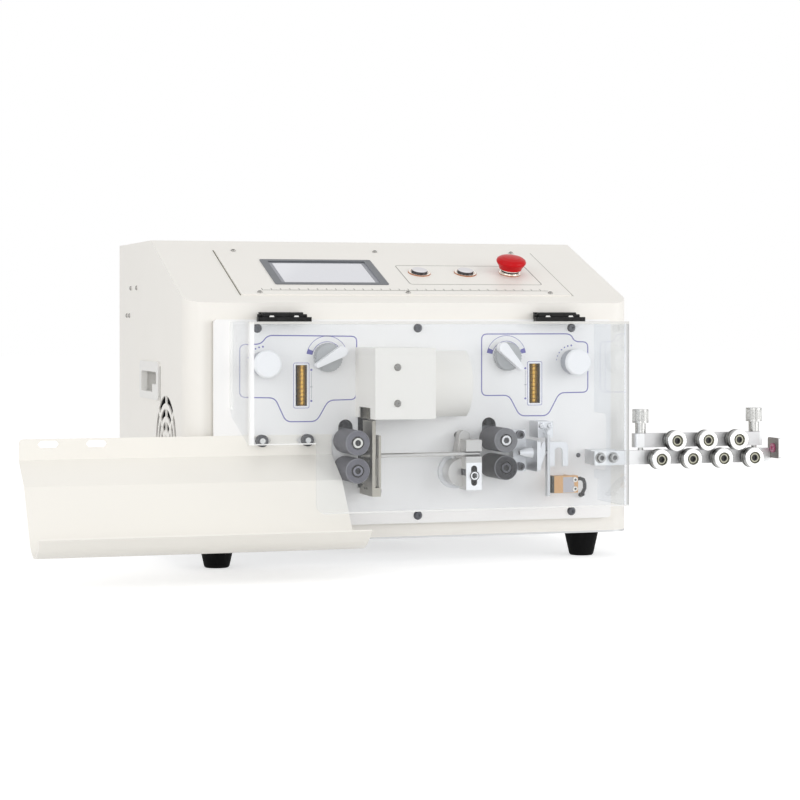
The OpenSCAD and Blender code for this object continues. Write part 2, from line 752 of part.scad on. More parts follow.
// Front plate with every opening of the mechanism
module front_plate() placed() color("#EDEDF0") difference() {
    union() {
        in_xz(plate_face, 0) translate([plate_mid, plate_z + plate_h / 2])
            rounded(plate_w, plate_h, plate_r);
        for (x = spring_x) block(x - 5.5, x + 5.5, -0.1, 13, spring_z1, spring_z1 + 5);
    }
    in_xz(plate_face - clear, clear) {
        for (i = [0, 1]) {
            translate([window_x[i], window_z]) square([window_w, window_h], center = true);
            shaft_slot(sides[i]);
        }
        translate([screw_x, (upper_carrier_z + carrier_h + lower_carrier_z) / 2])
            square([carrier_slot_w, upper_carrier_z + carrier_h - lower_carrier_z + 8],
                center = true);
        translate([hub_x, hub_z]) arc_slot(pin_r, pin_d + 2, pin_a - swing_a - 3, pin_a + 4);
    }
    for (i = [0, 1]) {
        rod_y(plate_face - 1, 1, pressure_x[i], pressure_z, knob_shaft_d + 2 * fit);
        rod_y(plate_face - 1, 1, gap_x[i], gap_z, knob_shaft_d + 2 * fit);
        rod_y(plate_face - 1, 1, roller_x(sides[i]), lower_z, shaft_d + 2 * fit);
    }
    rod_y(plate_face - 1, 1, hub_x, hub_z, hub_shaft_d + 2 * fit);
    rod_y(plate_face - 1, 1, lead_end[0], lead_end[2], 5.2);
    for (x = plate_screws_x, z = plate_screws_z) rod_y(plate_face - 1, 1, x, z, 5.4);
    rod_y(plate_face - 1, 1, plate_mid + 180.5, wire_z - 6, 3);
}

hub_shaft_d = 10;

// Opening in the plate that lets the upper shaft swing on its arm
module shaft_slot(side) translate([pivot_x(side), pivot_z]) mirror([side < 0 ? 0 : 1, 0])
    arc_slot(arm_r, shaft_d + 3.5, shaft_angle - close_angle - 1, shaft_angle + slot_rise);
shaft_angle = -atan(arm_lift / arm_reach);

// Upper and lower halves of the black hinges
module hinge_blocks() placed() color("#18181A") for (x = hinge_x) {
    knuckle = hinge_fixed_len / 3;
    difference() {
        union() {
            in_yz(x - hinge_fixed_len / 2, x + hinge_fixed_len / 2) polygon([[-5, fold_z - 18 + 1],
                [0, fold_z - 18 + 1], [0, hinge_z + 4], [-5, hinge_z + 4]]);
            in_yz(x - knuckle / 2, x + knuckle / 2) hinge_knuckle(-4);
        }
        rod_x(x - hinge_len, x + hinge_len, hinge_y, hinge_z, hinge_pin_d - 2 * 0.01);
    }
    rod_x(x - hinge_len / 2 + 2, x + hinge_len / 2 - 2, hinge_y, hinge_z, hinge_pin_d);
}

module hinge_knuckle(y) {
    translate([hinge_y, hinge_z]) circle(4);
    translate([hinge_y, hinge_z - 3]) square([y - hinge_y, 7]);
}

module hinge_leaves() placed() color("#18181A") for (x = hinge_x) {
    knuckle = hinge_fixed_len / 3;
    difference() {
        union() {
            block(x - hinge_len / 2, x + hinge_len / 2, hinge_y - 12.5, hinge_y - 5, guard_top,
                guard_top + 4.5);
            for (side = sides) in_yz(x + side * knuckle - knuckle / 2 + 0.4,
                x + side * knuckle + knuckle / 2 - 0.4) {
                translate([hinge_y, hinge_z]) circle(4);
                translate([hinge_y - 6, guard_top + 0.5]) square([6, 4]);
            }
        }
        rod_x(x - hinge_len, x + hinge_len, hinge_y, hinge_z, hinge_pin_d + 2 * fit);
        for (dx = hinge_screw_dx) translate([x + dx, hinge_screw_y, guard_top]) cylinder(d = 3.4, h = 9);
    }
    for (dx = hinge_screw_dx) translate([x + dx, hinge_screw_y, guard_top + 4.5]) button_screw(3, 4.4);
}

// Clear guard: top, front and two wings, bent from one sheet
module guard() placed() color([0.85, 0.9, 0.95, 0.25]) {
    x1 = guard_x0 + guard_w;
    step_x = guard_x0 + 68;
    difference() {
        union() {
            block(guard_x0, x1, guard_front, guard_back - 4, guard_top - guard_t, guard_top);
            in_xz(guard_front, guard_front + guard_t) guard_face(x1, step_x);
            in_yz(guard_x0, guard_x0 + guard_t) polygon([[guard_back, guard_top],
                [guard_front, guard_top], [guard_front, guard_left_z], [guard_front + 6, guard_left_z],
                [guard_back - 10, guard_left_z + 24], [guard_back, guard_left_z + 34]]);
            in_yz(x1 - guard_t, x1) right_wing();
        }
        for (x = hinge_x, dx = hinge_screw_dx)
            translate([x + dx, hinge_screw_y, guard_top - 5]) cylinder(d = 3.4, h = 9);
    }
}
guard_left_z = tray_top - 5;

module guard_face(x1, step_x) {
    r = 10;
    translate([guard_x0, guard_left_z]) square([guard_w, guard_top - guard_left_z]);
    translate([step_x + r, guard_z0]) square([x1 - step_x - r, guard_left_z - guard_z0 + 1]);
    translate([step_x, guard_z0 + r]) square([r + 1, guard_left_z - guard_z0 - r + 1]);
    translate([step_x + r, guard_z0 + r]) circle(r);
}

// Right wing: its notch leaves room for the straightener's bar
module right_wing() difference() {
    translate([guard_front, guard_z0]) square([guard_back - guard_front, guard_top - guard_z0]);
    translate([(bar_y0 - 8 + guard_back) / 2 + 10, (wing_notch_z0 + wing_notch_z1) / 2])
        rounded(guard_back - bar_y0 + 28, wing_notch_z1 - wing_notch_z0, 9);
    translate([guard_back - 9, guard_z0 - 1]) square([10, 24]);
}

// Cutter cover: a sheet box with a notch in its left wall, and a curved hood beside it
cover_screws_z = [cover_z + 16, cover_z + 52.5];
module cutter_cover() placed() color(cream) {
    x1 = cover_x + cover_w;
    z1 = cover_z + cover_h;
    difference() {
        union() {
            difference() {
                block(cover_x, x1, cover_front, plate_face, cover_z, z1);
                block(cover_x + sheet_t, x1 - sheet_t, cover_front + sheet_t, plate_face + 1,
                    cover_z - 1, z1 - sheet_t);
                block(cover_x - 1, cover_x + 5, -62, -21, cover_z - 1, cover_z + 11);
            }
            for (z = cover_screws_z)
                rod_y(cover_front + sheet_t - 0.1, plate_face, cover_x + 23.5, z, 8);
        }
        for (z = cover_screws_z) rod_y(cover_front - 1, cover_front + 8, cover_x + 23.5, z, 4.4);
    }
    difference() {
        in_yz(x1 - 0.1, x1 + hood_w) hood_section(0);
        in_yz(x1 - 1, x1 + hood_w - sheet_t) hood_section(sheet_t);
    }
}

// Section of the hood, moved inwards by i: straight next to the plate, then an arc
module hood_section(i) {
    h = cover_h - 4;
    r = (h * h / 4 + hood_bulge * hood_bulge) / (2 * hood_bulge);
    straight = 22;
    y = plate_face - straight;
    intersection() {
        translate([y - hood_bulge + r, cover_z + h / 2]) circle(r - i);
        translate([y - hood_bulge - 1, cover_z + i]) square([hood_bulge + 1.01, h - 2 * i]);
    }
    translate([y, cover_z + i]) square([straight + i, h - 2 * i]);
}

// Steel plates that guide the blades and hold the outlet nozzle
module blade_guide() placed() color("#A9A8A2") {
    z0 = wire_z - 41;
    z1 = wire_z + 36;
    difference() {
        union() {
            in_yz(guide_x, guide_x + guide_t) difference() {
                translate([guide_front, z0]) square([guide_back - guide_front, z1 - z0]);
                for (y = [-34, -27]) translate([y, z0 + 7]) circle(1.6);
            }
            block(strip_x, strip_x + strip_t, guide_front, guide_back, z0, wire_z + 21);
            block(guide_x + guide_t - 0.1, strip_x + 0.1, guide_front, guide_back, z0, z0 + 9);
            block(guide_x, strip_x + strip_t, guide_back - 0.1, plate_face, z0, z0 + 9);
            translate([guide_x + 0.1, wire_y, wire_z]) rotate([0, -90, 0])
                cylinder(d1 = 13, d2 = 2 * wire_bore - 2.6, h = nozzle_len);
        }
        rod_x(guide_x - nozzle_len - 5, strip_x + 10, wire_y, wire_z, wire_bore);
        block(guide_x - 1, guide_x + guide_t + 1, wire_y - 5, wire_y + 5, wire_z + 12, wire_z + 20);
    }
    translate([strip_x + strip_t, -44, z0 + 5]) rotate([0, 90, 0]) button_screw(5, 1);
}
nozzle_len = 8;

// Carrier: a holder beside its blade, an arm through the plate, and a nut on the screw
module blade_carrier(z, x0, x1) difference() {
    union() {
        block(x0, x1, carrier_y0, guide_back + 6, z, z + carrier_h);
        block(carrier_x0, carrier_x0 + carrier_w, guide_back + gap, screw_y - 9, z, z + carrier_h);
        block(carrier_x0 - 4.5, carrier_x0 + carrier_w + 4.5, screw_y - 10, screw_y + 10, z,
            z + carrier_h);
    }
    rod_z(z - 1, z + carrier_h + 1, screw_x, screw_y, blade_screw_d + 2 * fit);
}

// Blade with a V notch: the middle of its edge lies at edge_z, and it cuts towards dir
module blade(x, edge_z, root_z, dir) in_yz(x, x + blade_t) polygon([
    [blade_y0, root_z], [blade_y0, edge_z + dir * 5], [wire_y, edge_z],
    [blade_y0 + blade_w, edge_z + dir * 5], [blade_y0 + blade_w, root_z]]);

module blade_carrier_upper() placed() {
    color("#4A4A4C") blade_carrier(upper_carrier_z, blade_x0 + blade_t, strip_x + strip_t + 2);
    color("#C9CACB") blade(blade_x0, wire_z + blade_open, upper_carrier_z + carrier_h, -1);
}

lower_blade_x = blade_x0 + blade_t + gap;
module blade_carrier_lower() placed() {
    color("#4A4A4C") blade_carrier(lower_carrier_z, blade_x0, lower_blade_x);
    color("#C9CACB") blade(lower_blade_x, wire_z - blade_open, lower_carrier_z, 1);
}

module blade_screw() placed() color("#B9BABC") {
    rod_z(lower_carrier_z - 12, motor_z0 + 10, screw_x, screw_y, blade_screw_d);
}

// Plate behind the mechanism, on six posts, that carries the shafts' back ends and the motors
post_x = [bearing_x0 + 12, plate_mid + 60, bearing_x0 + bearing_w - 12];
module bearing_plate() placed() color("#AEB0B3") {
    z1 = bearing_z0 + bearing_h;
    difference() {
        block(bearing_x0, bearing_x0 + bearing_w, bearing_y, bearing_y + bearing_t, bearing_z0, z1);
        for (side = sides) {
            rod_y(bearing_y - 1, bearing_y + bearing_t + 1, roller_x(side), lower_z, shaft_d + 2 * fit);
        }
        block(screw_x - carrier_w / 2 - 1, screw_x + carrier_w / 2 + 1, bearing_y - 1,
            bearing_y + bearing_t + 1, lower_carrier_z - 4, z1 + 1);
    }
    for (x = post_x, z = [bearing_z0 + 8, z1 - 8]) rod_y(0, bearing_y, x, z, 12);
    for (side = sides) rod_y(0, bearing_y, pivot_x(side), pivot_z, shaft_d);
}

// Stepping motors: two drive the lower rollers, one turns the blade screw
motor_size = 57;
module stepper(l) {
    difference() {
        translate([0, 0, l / 2]) cube([motor_size, motor_size, l], center = true);
        for (x = [-1, 1], y = [-1, 1]) translate([x * motor_size / 2, y * motor_size / 2, -1])
            rotate(45) translate([-3, -3, 0]) cube([6, 6, l + 2]);
    }
}

module drive_motors() placed() color("#3A3B3D") {
    y = bearing_y + bearing_t;
    y1 = y + 26;
    half = motor_size / 2;
    for (i = [0, 1]) difference() {
        translate([roller_x(sides[i]), 0, lower_z]) mirror([i, 0, 0]) {
            translate([0, y1, 0]) rotate([-90, 0, 0]) stepper(76);
            block(-half, -half + 10, y, y1 + 0.1, -half + 4, half - 4);
            block(-half, 4, y, y1 + 0.1, half - 12, half - 4);
        }
        rod_y(y1 - 1, lower_shaft_end + 1, roller_x(sides[i]), lower_z, shaft_d + 2 * fit);
    }
    difference() {
        union() {
            translate([screw_x, screw_y, motor_z0]) stepper(54);
            block(screw_x - 30, screw_x + 30, y, screw_y + 30, motor_z0 - 5, motor_z0 + 0.1);
            block(screw_x + 16, screw_x + 22, y, screw_y + 20, bearing_z0 + bearing_h - 20,
                motor_z0 - 5 + 0.1);
        }
        rod_z(motor_z0 - 6, motor_z0 + 11, screw_x, screw_y, blade_screw_d + 2 * fit);
    }
}

// Gear of a feed shaft: deep teeth with backlash, so that the pair stays in mesh as the gap opens
module feed_gear(phase) {
    r = gear_pitch_d / 2;
    tip = r + gear_module * 0.84;
    root = r - gear_module * 1.15;
    step = 360 / gear_teeth;
    linear_extrude(gear_w) rotate(phase) union() {
        circle(root);
        for (i = [0 : gear_teeth - 1]) rotate(i * step) polygon([polar(root - 0.5, -step * 0.24),
            polar(r, -step * 0.15), polar(tip, -step * 0.07), polar(tip, step * 0.07),
            polar(r, step * 0.15), polar(root - 0.5, step * 0.24)]);
    }
}

// Roller, its shaft with the gear, and its screw. The shaft's back end is at y1
module feed_roller(x, z, y1, phase) placed() color("#5F5E63") translate([x, 0, z]) {
    bore = shaft_d + 2 * fit;
    web_y = roller_front + 8;
    facing_front(0, 0, 0) {
        difference() {
            translate([0, 0, -roller_back]) rotate_extrude() polygon([[bore / 2, 0],
                [roller_d / 2 - 0.8, 0], [roller_d / 2, 0.8], [roller_d / 2, roller_len - 0.8],
                [roller_d / 2 - 0.8, roller_len], [6.3, roller_len], [6.3, roller_len - 5],
                [3.3, roller_len - 5], [3.3, roller_len - 8], [bore / 2, roller_len - 8]]);
        }
        translate([0, 0, -y1]) cylinder(d = shaft_d, h = y1 - web_y);
        translate([0, 0, -roller_front - 5]) cap_screw(6, 2.9);
    }
    difference() {
        facing_front(0, gear_y + gear_w, 0) feed_gear(phase);
        rod_y(gear_y - 1, gear_y + gear_w + 1, 0, 0, shaft_d - 0.02);
    }
}

upper_shaft_end = gear_y + gear_w + 1;
lower_shaft_end = bearing_y + bearing_t + 38;
half_tooth = 180 / gear_teeth;
mesh_shift = close_angle * (arm_lift + gear_pitch_d / 2) / (gear_pitch_d / 2);
module feed_roller_upper_left()
    feed_roller(roller_x(-1), upper_z, upper_shaft_end, 90 + half_tooth + mesh_shift);
module feed_roller_lower_left() feed_roller(roller_x(-1), lower_z, lower_shaft_end, 90);
module feed_roller_upper_right()
    feed_roller(roller_x(1), upper_z, upper_shaft_end, 90 + half_tooth - mesh_shift);
module feed_roller_lower_right() feed_roller(roller_x(1), lower_z, lower_shaft_end, 90);

// Swing arm: carries the upper shaft, takes the spring's load and hangs on the gap knob's cam
module swing_arm(i) placed() color("#8E9093") {
    side = sides[i];
    yoke_x = gap_x[i];
    yoke_top = gap_z + cam_r + gap;
    difference() {
        union() {
            in_xz(arm_y, arm_y + arm_t) {
                translate([pivot_x(side), pivot_z]) circle(13);
                translate([roller_x(side), upper_z]) circle(13);
                polygon([[pivot_x(side), pivot_z - 12], [roller_x(side), upper_z - 12],
                    [roller_x(side), upper_z + 12], [pivot_x(side), spring_z0 - 1]]);
            }
            block(spring_x[i] - 8, spring_x[i] + 8, arm_y, arm_y + arm_t + 2, pivot_z - 6,
                spring_z0 - gap);
            in_xz(arm_y + arm_t - 3, arm_y + arm_t) difference() {
                translate([yoke_x, (upper_z + yoke_top + 6) / 2])
                    square([yoke_w, yoke_top + 6 - upper_z], center = true);
                translate([yoke_x, (upper_z + 14 + yoke_top) / 2])
                    square([yoke_w - 10, yoke_top - upper_z - 14], center = true);
            }
        }
        rod_y(arm_y - 1, arm_y + arm_t + 1, pivot_x(side), pivot_z, shaft_d + 2 * fit);
        rod_y(arm_y - 1, arm_y + arm_t + 1, roller_x(side), upper_z, shaft_d + 2 * fit);
    }
}
yoke_w = 2 * (cam_r + cam_throw) + 14;
module swing_arm_left() swing_arm(0);
module swing_arm_right() swing_arm(1);

// Die spring behind each window: turns of flat wire, closed at both ends
module pressure_spring(i) placed() color("#E0A23C") translate([spring_x[i], spring_y, spring_z0]) {
    h = spring_z1 - spring_z0;
    turns = 9;
    pitch = (h - 3) / turns;
    wall = 2.4;
    rotate_extrude() {
        translate([spring_d / 2 - wall, 0]) square([wall - 0.6, h]);
        translate([spring_d / 2 - wall, 0]) square([wall, 1.5]);
        translate([spring_d / 2 - wall, h - 1.5]) square([wall, 1.5]);
        for (k = [0 : turns - 1])
            translate([spring_d / 2 - wall, 1.5 + (k + 0.22) * pitch]) square([wall, pitch * 0.56]);
    }
}
module pressure_spring_left() pressure_spring(0);
module pressure_spring_right() pressure_spring(1);

module pressure_knob(i) placed() color("#F4F4F5") translate([pressure_x[i], 0, pressure_z]) {
    r = pressure_knob_d / 2;
    facing_front(0, plate_face - knob_seat, 0) difference() {
        rotate_extrude() polygon([[0, 0], [r - 1.2, 0], [r - 0.6, pressure_knob_h - 5],
            [r, pressure_knob_h - 4], [r, pressure_knob_h - 1.5], [r - 1.5, pressure_knob_h],
            [0, pressure_knob_h]]);
        for (a = [0 : 15 : 345]) rotate(a) translate([r + 0.4, 0, -1])
            cylinder(d = 2.2, h = pressure_knob_h - 5);
    }
    rod_y(plate_face - knob_seat - 0.1, cam_y + cam_t, 0, 0, knob_shaft_d);
    rod_y(1, cam_y + cam_t - 3, 0, 0, 14);
}
module pressure_knob_left() pressure_knob(0);
module pressure_knob_right() pressure_knob(1);

// Knob with a bar handle on a round skirt; behind the plate its cam holds up the swing arm
module gap_knob(i) placed() color("#E9E9EA") translate([gap_x[i], 0, gap_z]) {
    skirt_h = 8;
    bar_rise = 18;
    facing_front(0, plate_face - knob_seat, 0) {
        linear_extrude(skirt_h - 1.5) ribbed(gap_knob_d / 2, 0.8, 30);
        cylinder(r = gap_knob_d / 2 - 1.4, h = skirt_h);
        rotate(gap_pointer[i]) translate([0, 0, skirt_h - 0.5]) linear_extrude(bar_rise - skirt_h + 0.5)
            translate([-gap_bar / 2 + 5.5, 0]) teardrop(5.5, 2.5, gap_bar - 8);
    }
    rod_y(plate_face - knob_seat - 0.1, cam_y + cam_t, 0, 0, knob_shaft_d);
    in_xz(cam_y, cam_y + 2.6) circle(cam_r + 1);
    in_xz(cam_y + 2.5, cam_y + cam_t) gap_cam(sides[i]);
}

// Spiral cam: its radius falls by the arm's travel as the knob turns from open to closed
module gap_cam(side) {
    turn = 120;
    fall = close_travel * abs(gap_x[0] - pivot_x(-1)) / arm_reach;
    polygon([for (a = [0 : 6 : 354]) let (t = min(1, max(0, (a < 180 ? a : a - 360) / turn)))
        polar(cam_r - fall * t, 90 + side * a)]);
}
module gap_knob_left() gap_knob(0);
module gap_knob_right() gap_knob(1);

// Swinging guide: hub, clamp block, sleeve and tube, with the pin that runs in the arc slot
module guide_arm() placed() {
    y1 = block_y0 + block_depth;
    color("#D4D5D7") difference() {
        union() {
            block(block_x, block_x + block_w, block_y0, y1, block_z0, block_z0 + block_h);
            rod_y(y1 - 0.1, plate_face - 4 - gap, hub_x, hub_z, hub_d);
            rod_y(y1 - 8, y1 + 0.1, hub_x, hub_z, hub_d);
            rod_y(plate_face - 5, 6, hub_x, hub_z, hub_shaft_d);
            in_xz(y1 - 0.1, plate_face - 4 - gap) translate([hub_x, hub_z]) rotate(pin_a)
                translate([pin_r / 2, 0]) slot(pin_r + 12, 12);
            translate([hub_x, 0, hub_z]) rotate([0, -pin_a, 0])
                rod_y(plate_face - 5, 4, pin_r, 0, pin_d);
        }
        rod_x(block_x - 30, block_x + block_w + 1, wire_y, wire_z, sleeve_d - 0.02);
        block(block_x - 1, block_x + block_w + 1, block_y0 - 1, wire_y - 0.8, wire_z - 2.4,
            wire_z + 2.4);
        in_xz(block_y0 - 1, block_y0 + 8) translate([block_x + block_w / 2, block_z0 + 15])
            rotate(90) slot(21, 6.6);
    }
    color("#E1E1E2") {
        difference() {
            union() {
                rod_x(block_x - 4, block_x + block_w - 1, wire_y, wire_z, sleeve_d);
                rod_x(tube_x0, block_x, wire_y, wire_z, tube_d);
            }
            rod_x(tube_x0 - 1, block_x + block_w, wire_y, wire_z, wire_bore);
        }
        facing_front(block_x + block_w / 2, block_y0 + 4, block_z0 + 15) cap_screw(6, 3.9);
    }
}

// Fixed wire guides on the plate: hub flange, inlet plate with its nozzle, lever bracket
module inlet_guides() placed() color("#C4C5C7") {
    difference() {
        rod_y(plate_face - 4, plate_face, hub_x, hub_z, hub_flange_d);
        rod_y(plate_face - 5, plate_face + 1, hub_x, hub_z, hub_shaft_d + 2 * fit);
    }
    difference() {
        union() {
            block(inlet_x - 14, inlet_x + 0.1, plate_face - 14, plate_face, wire_z - 21, wire_z + 23);
            in_yz(inlet_x, inlet_x + inlet_t) translate([(plate_face - 56) / 2, wire_z - 3])
                rounded(48, 32, 3);
            translate([inlet_x + 0.1, wire_y, wire_z]) rotate([0, -90, 0])
                cylinder(d1 = 12, d2 = 5.4, h = 14);
        }
        rod_x(inlet_x - 20, inlet_x + inlet_t + 1, wire_y, wire_z, wire_bore);
        for (z = inlet_screws_z)
            rod_y(plate_face - 15, plate_face + 1, inlet_x - 7, z, 5.2);
    }
    for (z = inlet_screws_z) facing_front(inlet_x - 7, plate_face - 14, z) cap_screw(5, 13.9);
    block(lever_x - 8.5, lever_x + 8.5, wire_y + lever_depth / 2 + 3.5, plate_face,
        lever_pivot_z - 6, lever_pivot_z + 11);
    for (x = [-4.6, 4.6]) facing_front(lever_x + x, wire_y + lever_depth / 2 + 3.5,
        lever_pivot_z + 6.5) button_screw(3.3, 0.1);
    rod_y(wire_y + lever_depth / 2 + gap, plate_face, lever_x, lever_pivot_z, 6);
    rod_y(wire_y - lever_depth / 2 - 1, plate_face, lever_x, lever_pivot_z, lever_pin_d);
    rod_y(wire_y - lever_depth / 2 - 1.6, wire_y - lever_depth / 2 - gap, lever_x, lever_pivot_z, 5);
    in_xz(fork_y - 2, fork_y) fork();
    rod_y(fork_y - 0.1, plate_face, fork_boss[0], fork_boss[1], 7);
}

// Steel fork beside the lever: two slots, open at the bottom, with a slanted leg on the left
fork_y = -17;
fork_boss = [391, wire_z + 5.8];
module fork() {
    r = 6;
    top = wire_z + 9.3;
    low = wire_z - 16.6;
    slot_r = 4.4;
    polygon(concat(arc_points([410.3 - r, top - r], r, 0, 90, 8),
        [[381.2, top], [374, low], [379.8, low], [386.6, wire_z + 2.4], [388.4, wire_z + 2.4], [388.4, low],
            [395.2, low]],
        arc_points([395.2 + slot_r, wire_z - 1], slot_r, 180, 0, 12), [[404, low], [410.3, low]]));
}
inlet_screws_z = [wire_z - 15.5, wire_z + 18];

module sensor_lever() placed() color("#B4B6B9") difference() {
    in_yz(lever_x - lever_t / 2, lever_x + lever_t / 2)
        translate([wire_y - lever_depth / 2, lever_z0]) square([lever_depth, lever_z1 - lever_z0]);
    rod_y(wire_y - lever_depth, wire_y + lever_depth, lever_x, lever_pivot_z, lever_pin_d + 2 * fit);
    rod_x(lever_x - lever_t, lever_x + lever_t, wire_y, wire_z, 4);
}

// Switch that the lever works, on two spacers
module sensor_switch() placed() color("#D9A066") {
    x1 = switch_x + switch_w;
    difference() {
        union() {
            block(switch_x, x1, switch_y, switch_y + switch_t, switch_z, switch_z + switch_h);
            for (z = switch_screws_z) rod_y(switch_y + switch_t - 0.1, plate_face, x1 - 3.5, switch_z + z, 7);
        }
        for (z = switch_screws_z) rod_y(switch_y - 1, switch_y + 6, x1 - 3.5, switch_z + z, 3.5);
    }
    block(switch_x - 1.5, switch_x + 0.1, switch_y + 3, switch_y + 8, switch_z + 1,
        switch_z + switch_h - 1);
    block(lever_x + lever_t / 2 + gap, switch_x - 1.4, switch_y + 4, switch_y + 7, switch_z + 6,
        switch_z + 11);
    for (z = switch_screws_z) facing_front(x1 - 3.5, switch_y, switch_z + z) button_screw(3.4, 5);
}
switch_screws_z = [4.2, 13.8];

// Lead from the switch into the plate
lead_d = 4;
lead_start = [switch_x + switch_w, switch_y + 6, switch_z + 14];
lead_reach = min(15, (guard_x0 + guard_w - guard_t - switch_x - switch_w) / 2);
lead_end = [switch_x + switch_w + lead_reach, 0, switch_z - 5];
lead_route = [lead_start, lead_start + [lead_reach / 3, 0, 0.5], lead_start + [lead_reach * 0.6, 1, -1],
    lead_start + [lead_reach * 0.8, 5, -5], lead_start + [lead_reach * 0.97, 11, -11],
    lead_start + [lead_reach, 18, -16],
    [lead_end[0], plate_face - 7, lead_end[2] + 1], [lead_end[0], plate_face - 3, lead_end[2]],
    [lead_end[0], plate_face + 4, lead_end[2]]];

function unit(v) = v / norm(v);
function tangent(p, i) = unit(p[min(i + 1, len(p) - 1)] - p[max(i - 1, 0)]);
function ring_at(p, i, d, n) =
    let (t = tangent(p, i), u = unit(cross(t, [0, 0.3, 1])), v = cross(t, u))
    [for (k = [0 : n - 1]) p[i] + d / 2 * (cos(360 * k / n) * u + sin(360 * k / n) * v)];

// Round tube of diameter d along the points p, with n sides
module sweep_tube(p, d, n) {
    rings = [for (i = [0 : len(p) - 1]) each ring_at(p, i, d, n)];
    last = (len(p) - 1) * n;
    polyhedron(rings, concat([[for (k = [0 : n - 1]) n - 1 - k]],
        [[for (k = [0 : n - 1]) last + k]],
        [for (i = [0 : len(p) - 2], k = [0 : n - 1])
            [i * n + k, i * n + (k + 1) % n, (i + 1) * n + (k + 1) % n, (i + 1) * n + k]]));
}
module sensor_lead() placed() color("#1A1A1C") sweep_tube(lead_route, lead_d, 8);

// Straightener: lower bar with its bracket, axles and end plate
module axle(x, z) {
    rod_y(wheel_y1 + gap, bar_y0 + 0.1, x, z, 12);
    rod_y(wheel_y0 + 3.1, bar_y0, x, z, axle_d);
    difference() {
        rod_y(wheel_y0 + 0.8, wheel_y0 + 3.2, x, z, 9.4);
        facing_front(x, wheel_y0 + 2.4, z) cylinder(d = 5, h = 3, $fn = 6);
    }
}

// Bar's plan with its left front corner rounded
module bar_plan(x0, x1, r) polygon(concat([[x1, bar_y0], [x1, bar_y0 + bar_t], [x0, bar_y0 + bar_t]],
    arc_points([x0 + r, bar_y0 + r], r, 180, 270, 8)));

module straightener_frame() placed() color("#BFC1C4") {
    z1 = bar_z + bar_h;
    difference() {
        union() {
            in_xy(bar_z, z1) bar_plan(bar_x0, end_plate_x + 0.1, 5);
            block(bar_x0, bar_x0 + 29, bar_y0 + bar_t - 0.1, plate_face, bar_z + 1, z1 + 1);
            in_yz(end_plate_x, end_plate_x + end_plate_t) translate([wire_y, wire_z])
                rounded(end_plate_w, end_plate_h, 2);
            for (i = [0 : upper_wheels]) axle(lower_wheel_x + i * wheel_pitch, wire_z - row_drop);
        }
        rod_x(end_plate_x - 1, end_plate_x + end_plate_t + 1, wire_y, wire_z, eyelet_d - 2);
        for (x = thumb_x) rod_z(bar_z - 1, z1 + 1, x, bar_y0 + bar_t / 2, thumb_screw_d + 1);
        for (x = bar_screws_x) rod_y(bar_y0 - 1, plate_face + 1, x, bar_z + 8, 5.2);
    }
    for (x = bar_screws_x) facing_front(x, bar_y0, bar_z + 8) cap_screw(5, 25);
}
bar_screws_x = [bar_x0 + 7.2, bar_x0 + 22];

module wire_eyelet() placed() color("#B8557A") translate([end_plate_x, wire_y, wire_z])
    rotate([0, 90, 0]) rotate_extrude() polygon([[2, -1.5], [eyelet_d / 2, -1.5],
        [eyelet_d / 2, -0.01], [eyelet_d / 2 - 1.05, -0.01], [eyelet_d / 2 - 1.05, end_plate_t],
        [2.6, end_plate_t], [2, end_plate_t - 0.6]]);

module straightener_bar() placed() color("#BFC1C4") {
    x0 = upper_bar_x;
    difference() {
        union() {
            in_xy(upper_bar_z, upper_bar_z + bar_h) bar_plan(x0, x0 + upper_bar_len, 4.5);
            for (i = [0 : upper_wheels - 1]) axle(upper_wheel_x + i * wheel_pitch, wire_z + row_drop);
        }
        for (x = thumb_x) rod_z(upper_bar_z - 1, upper_bar_z + bar_h + 1, x, bar_y0 + bar_t / 2,
            thumb_screw_d + 2 * fit);
    }
}

module thumb_screw(i) placed() color("#C9CBCE") translate([thumb_x[i], bar_y0 + bar_t / 2, 0]) {
    z = upper_bar_z + bar_h + gap;
    difference() {
        translate([0, 0, z + thumb_stem_h]) cylinder(d = thumb_d, h = thumb_h);
        for (a = [0 : 12 : 348]) rotate(a) translate([thumb_d / 2 + 0.3, 0, z + thumb_stem_h + 2])
            cylinder(d = 1.4, h = thumb_h - 4);
        translate([0, 0, z + thumb_stem_h + thumb_h - 1]) cylinder(d = 5, h = 3, $fn = 6);
    }
    translate([0, 0, z]) cylinder(d = thumb_stem_d, h = thumb_stem_h + 0.1);
    translate([0, 0, bar_z + 3]) cylinder(d = thumb_screw_d, h = z - bar_z - 2.9);
}
module thumb_screw_left() thumb_screw(0);
module thumb_screw_right() thumb_screw(1);

// Straightening wheel: a bearing's outer ring with a groove for the wire
module wheel(x, z) placed() color("#D5D6D8") facing_front(x, wheel_y1, z) rotate_extrude() {
    r = wheel_d / 2;
    groove = wheel_y1 - wire_y;
    polygon([[axle_d / 2 + fit, 0], [r - 0.7, 0], [r, 0.7], [r, groove - 1.9], [r - 1.5, groove - 0.5],
        [r - 1.5, groove + 0.5], [r, groove + 1.9], [r, wheel_w - 0.6], [r - 0.6, wheel_w],
        [6.3, wheel_w], [5.7, wheel_w - 0.6], [5.7, wheel_w - 3.5], [axle_d / 2 + fit, wheel_w - 3.5]]);
}
module wheel_lower_1() wheel(lower_wheel_x, wire_z - row_drop);
module wheel_lower_2() wheel(lower_wheel_x + wheel_pitch, wire_z - row_drop);
module wheel_lower_3() wheel(lower_wheel_x + 2 * wheel_pitch, wire_z - row_drop);
module wheel_lower_4() wheel(lower_wheel_x + 3 * wheel_pitch, wire_z - row_drop);
module wheel_upper_1() wheel(upper_wheel_x, wire_z + row_drop);
module wheel_upper_2() wheel(upper_wheel_x + wheel_pitch, wire_z + row_drop);
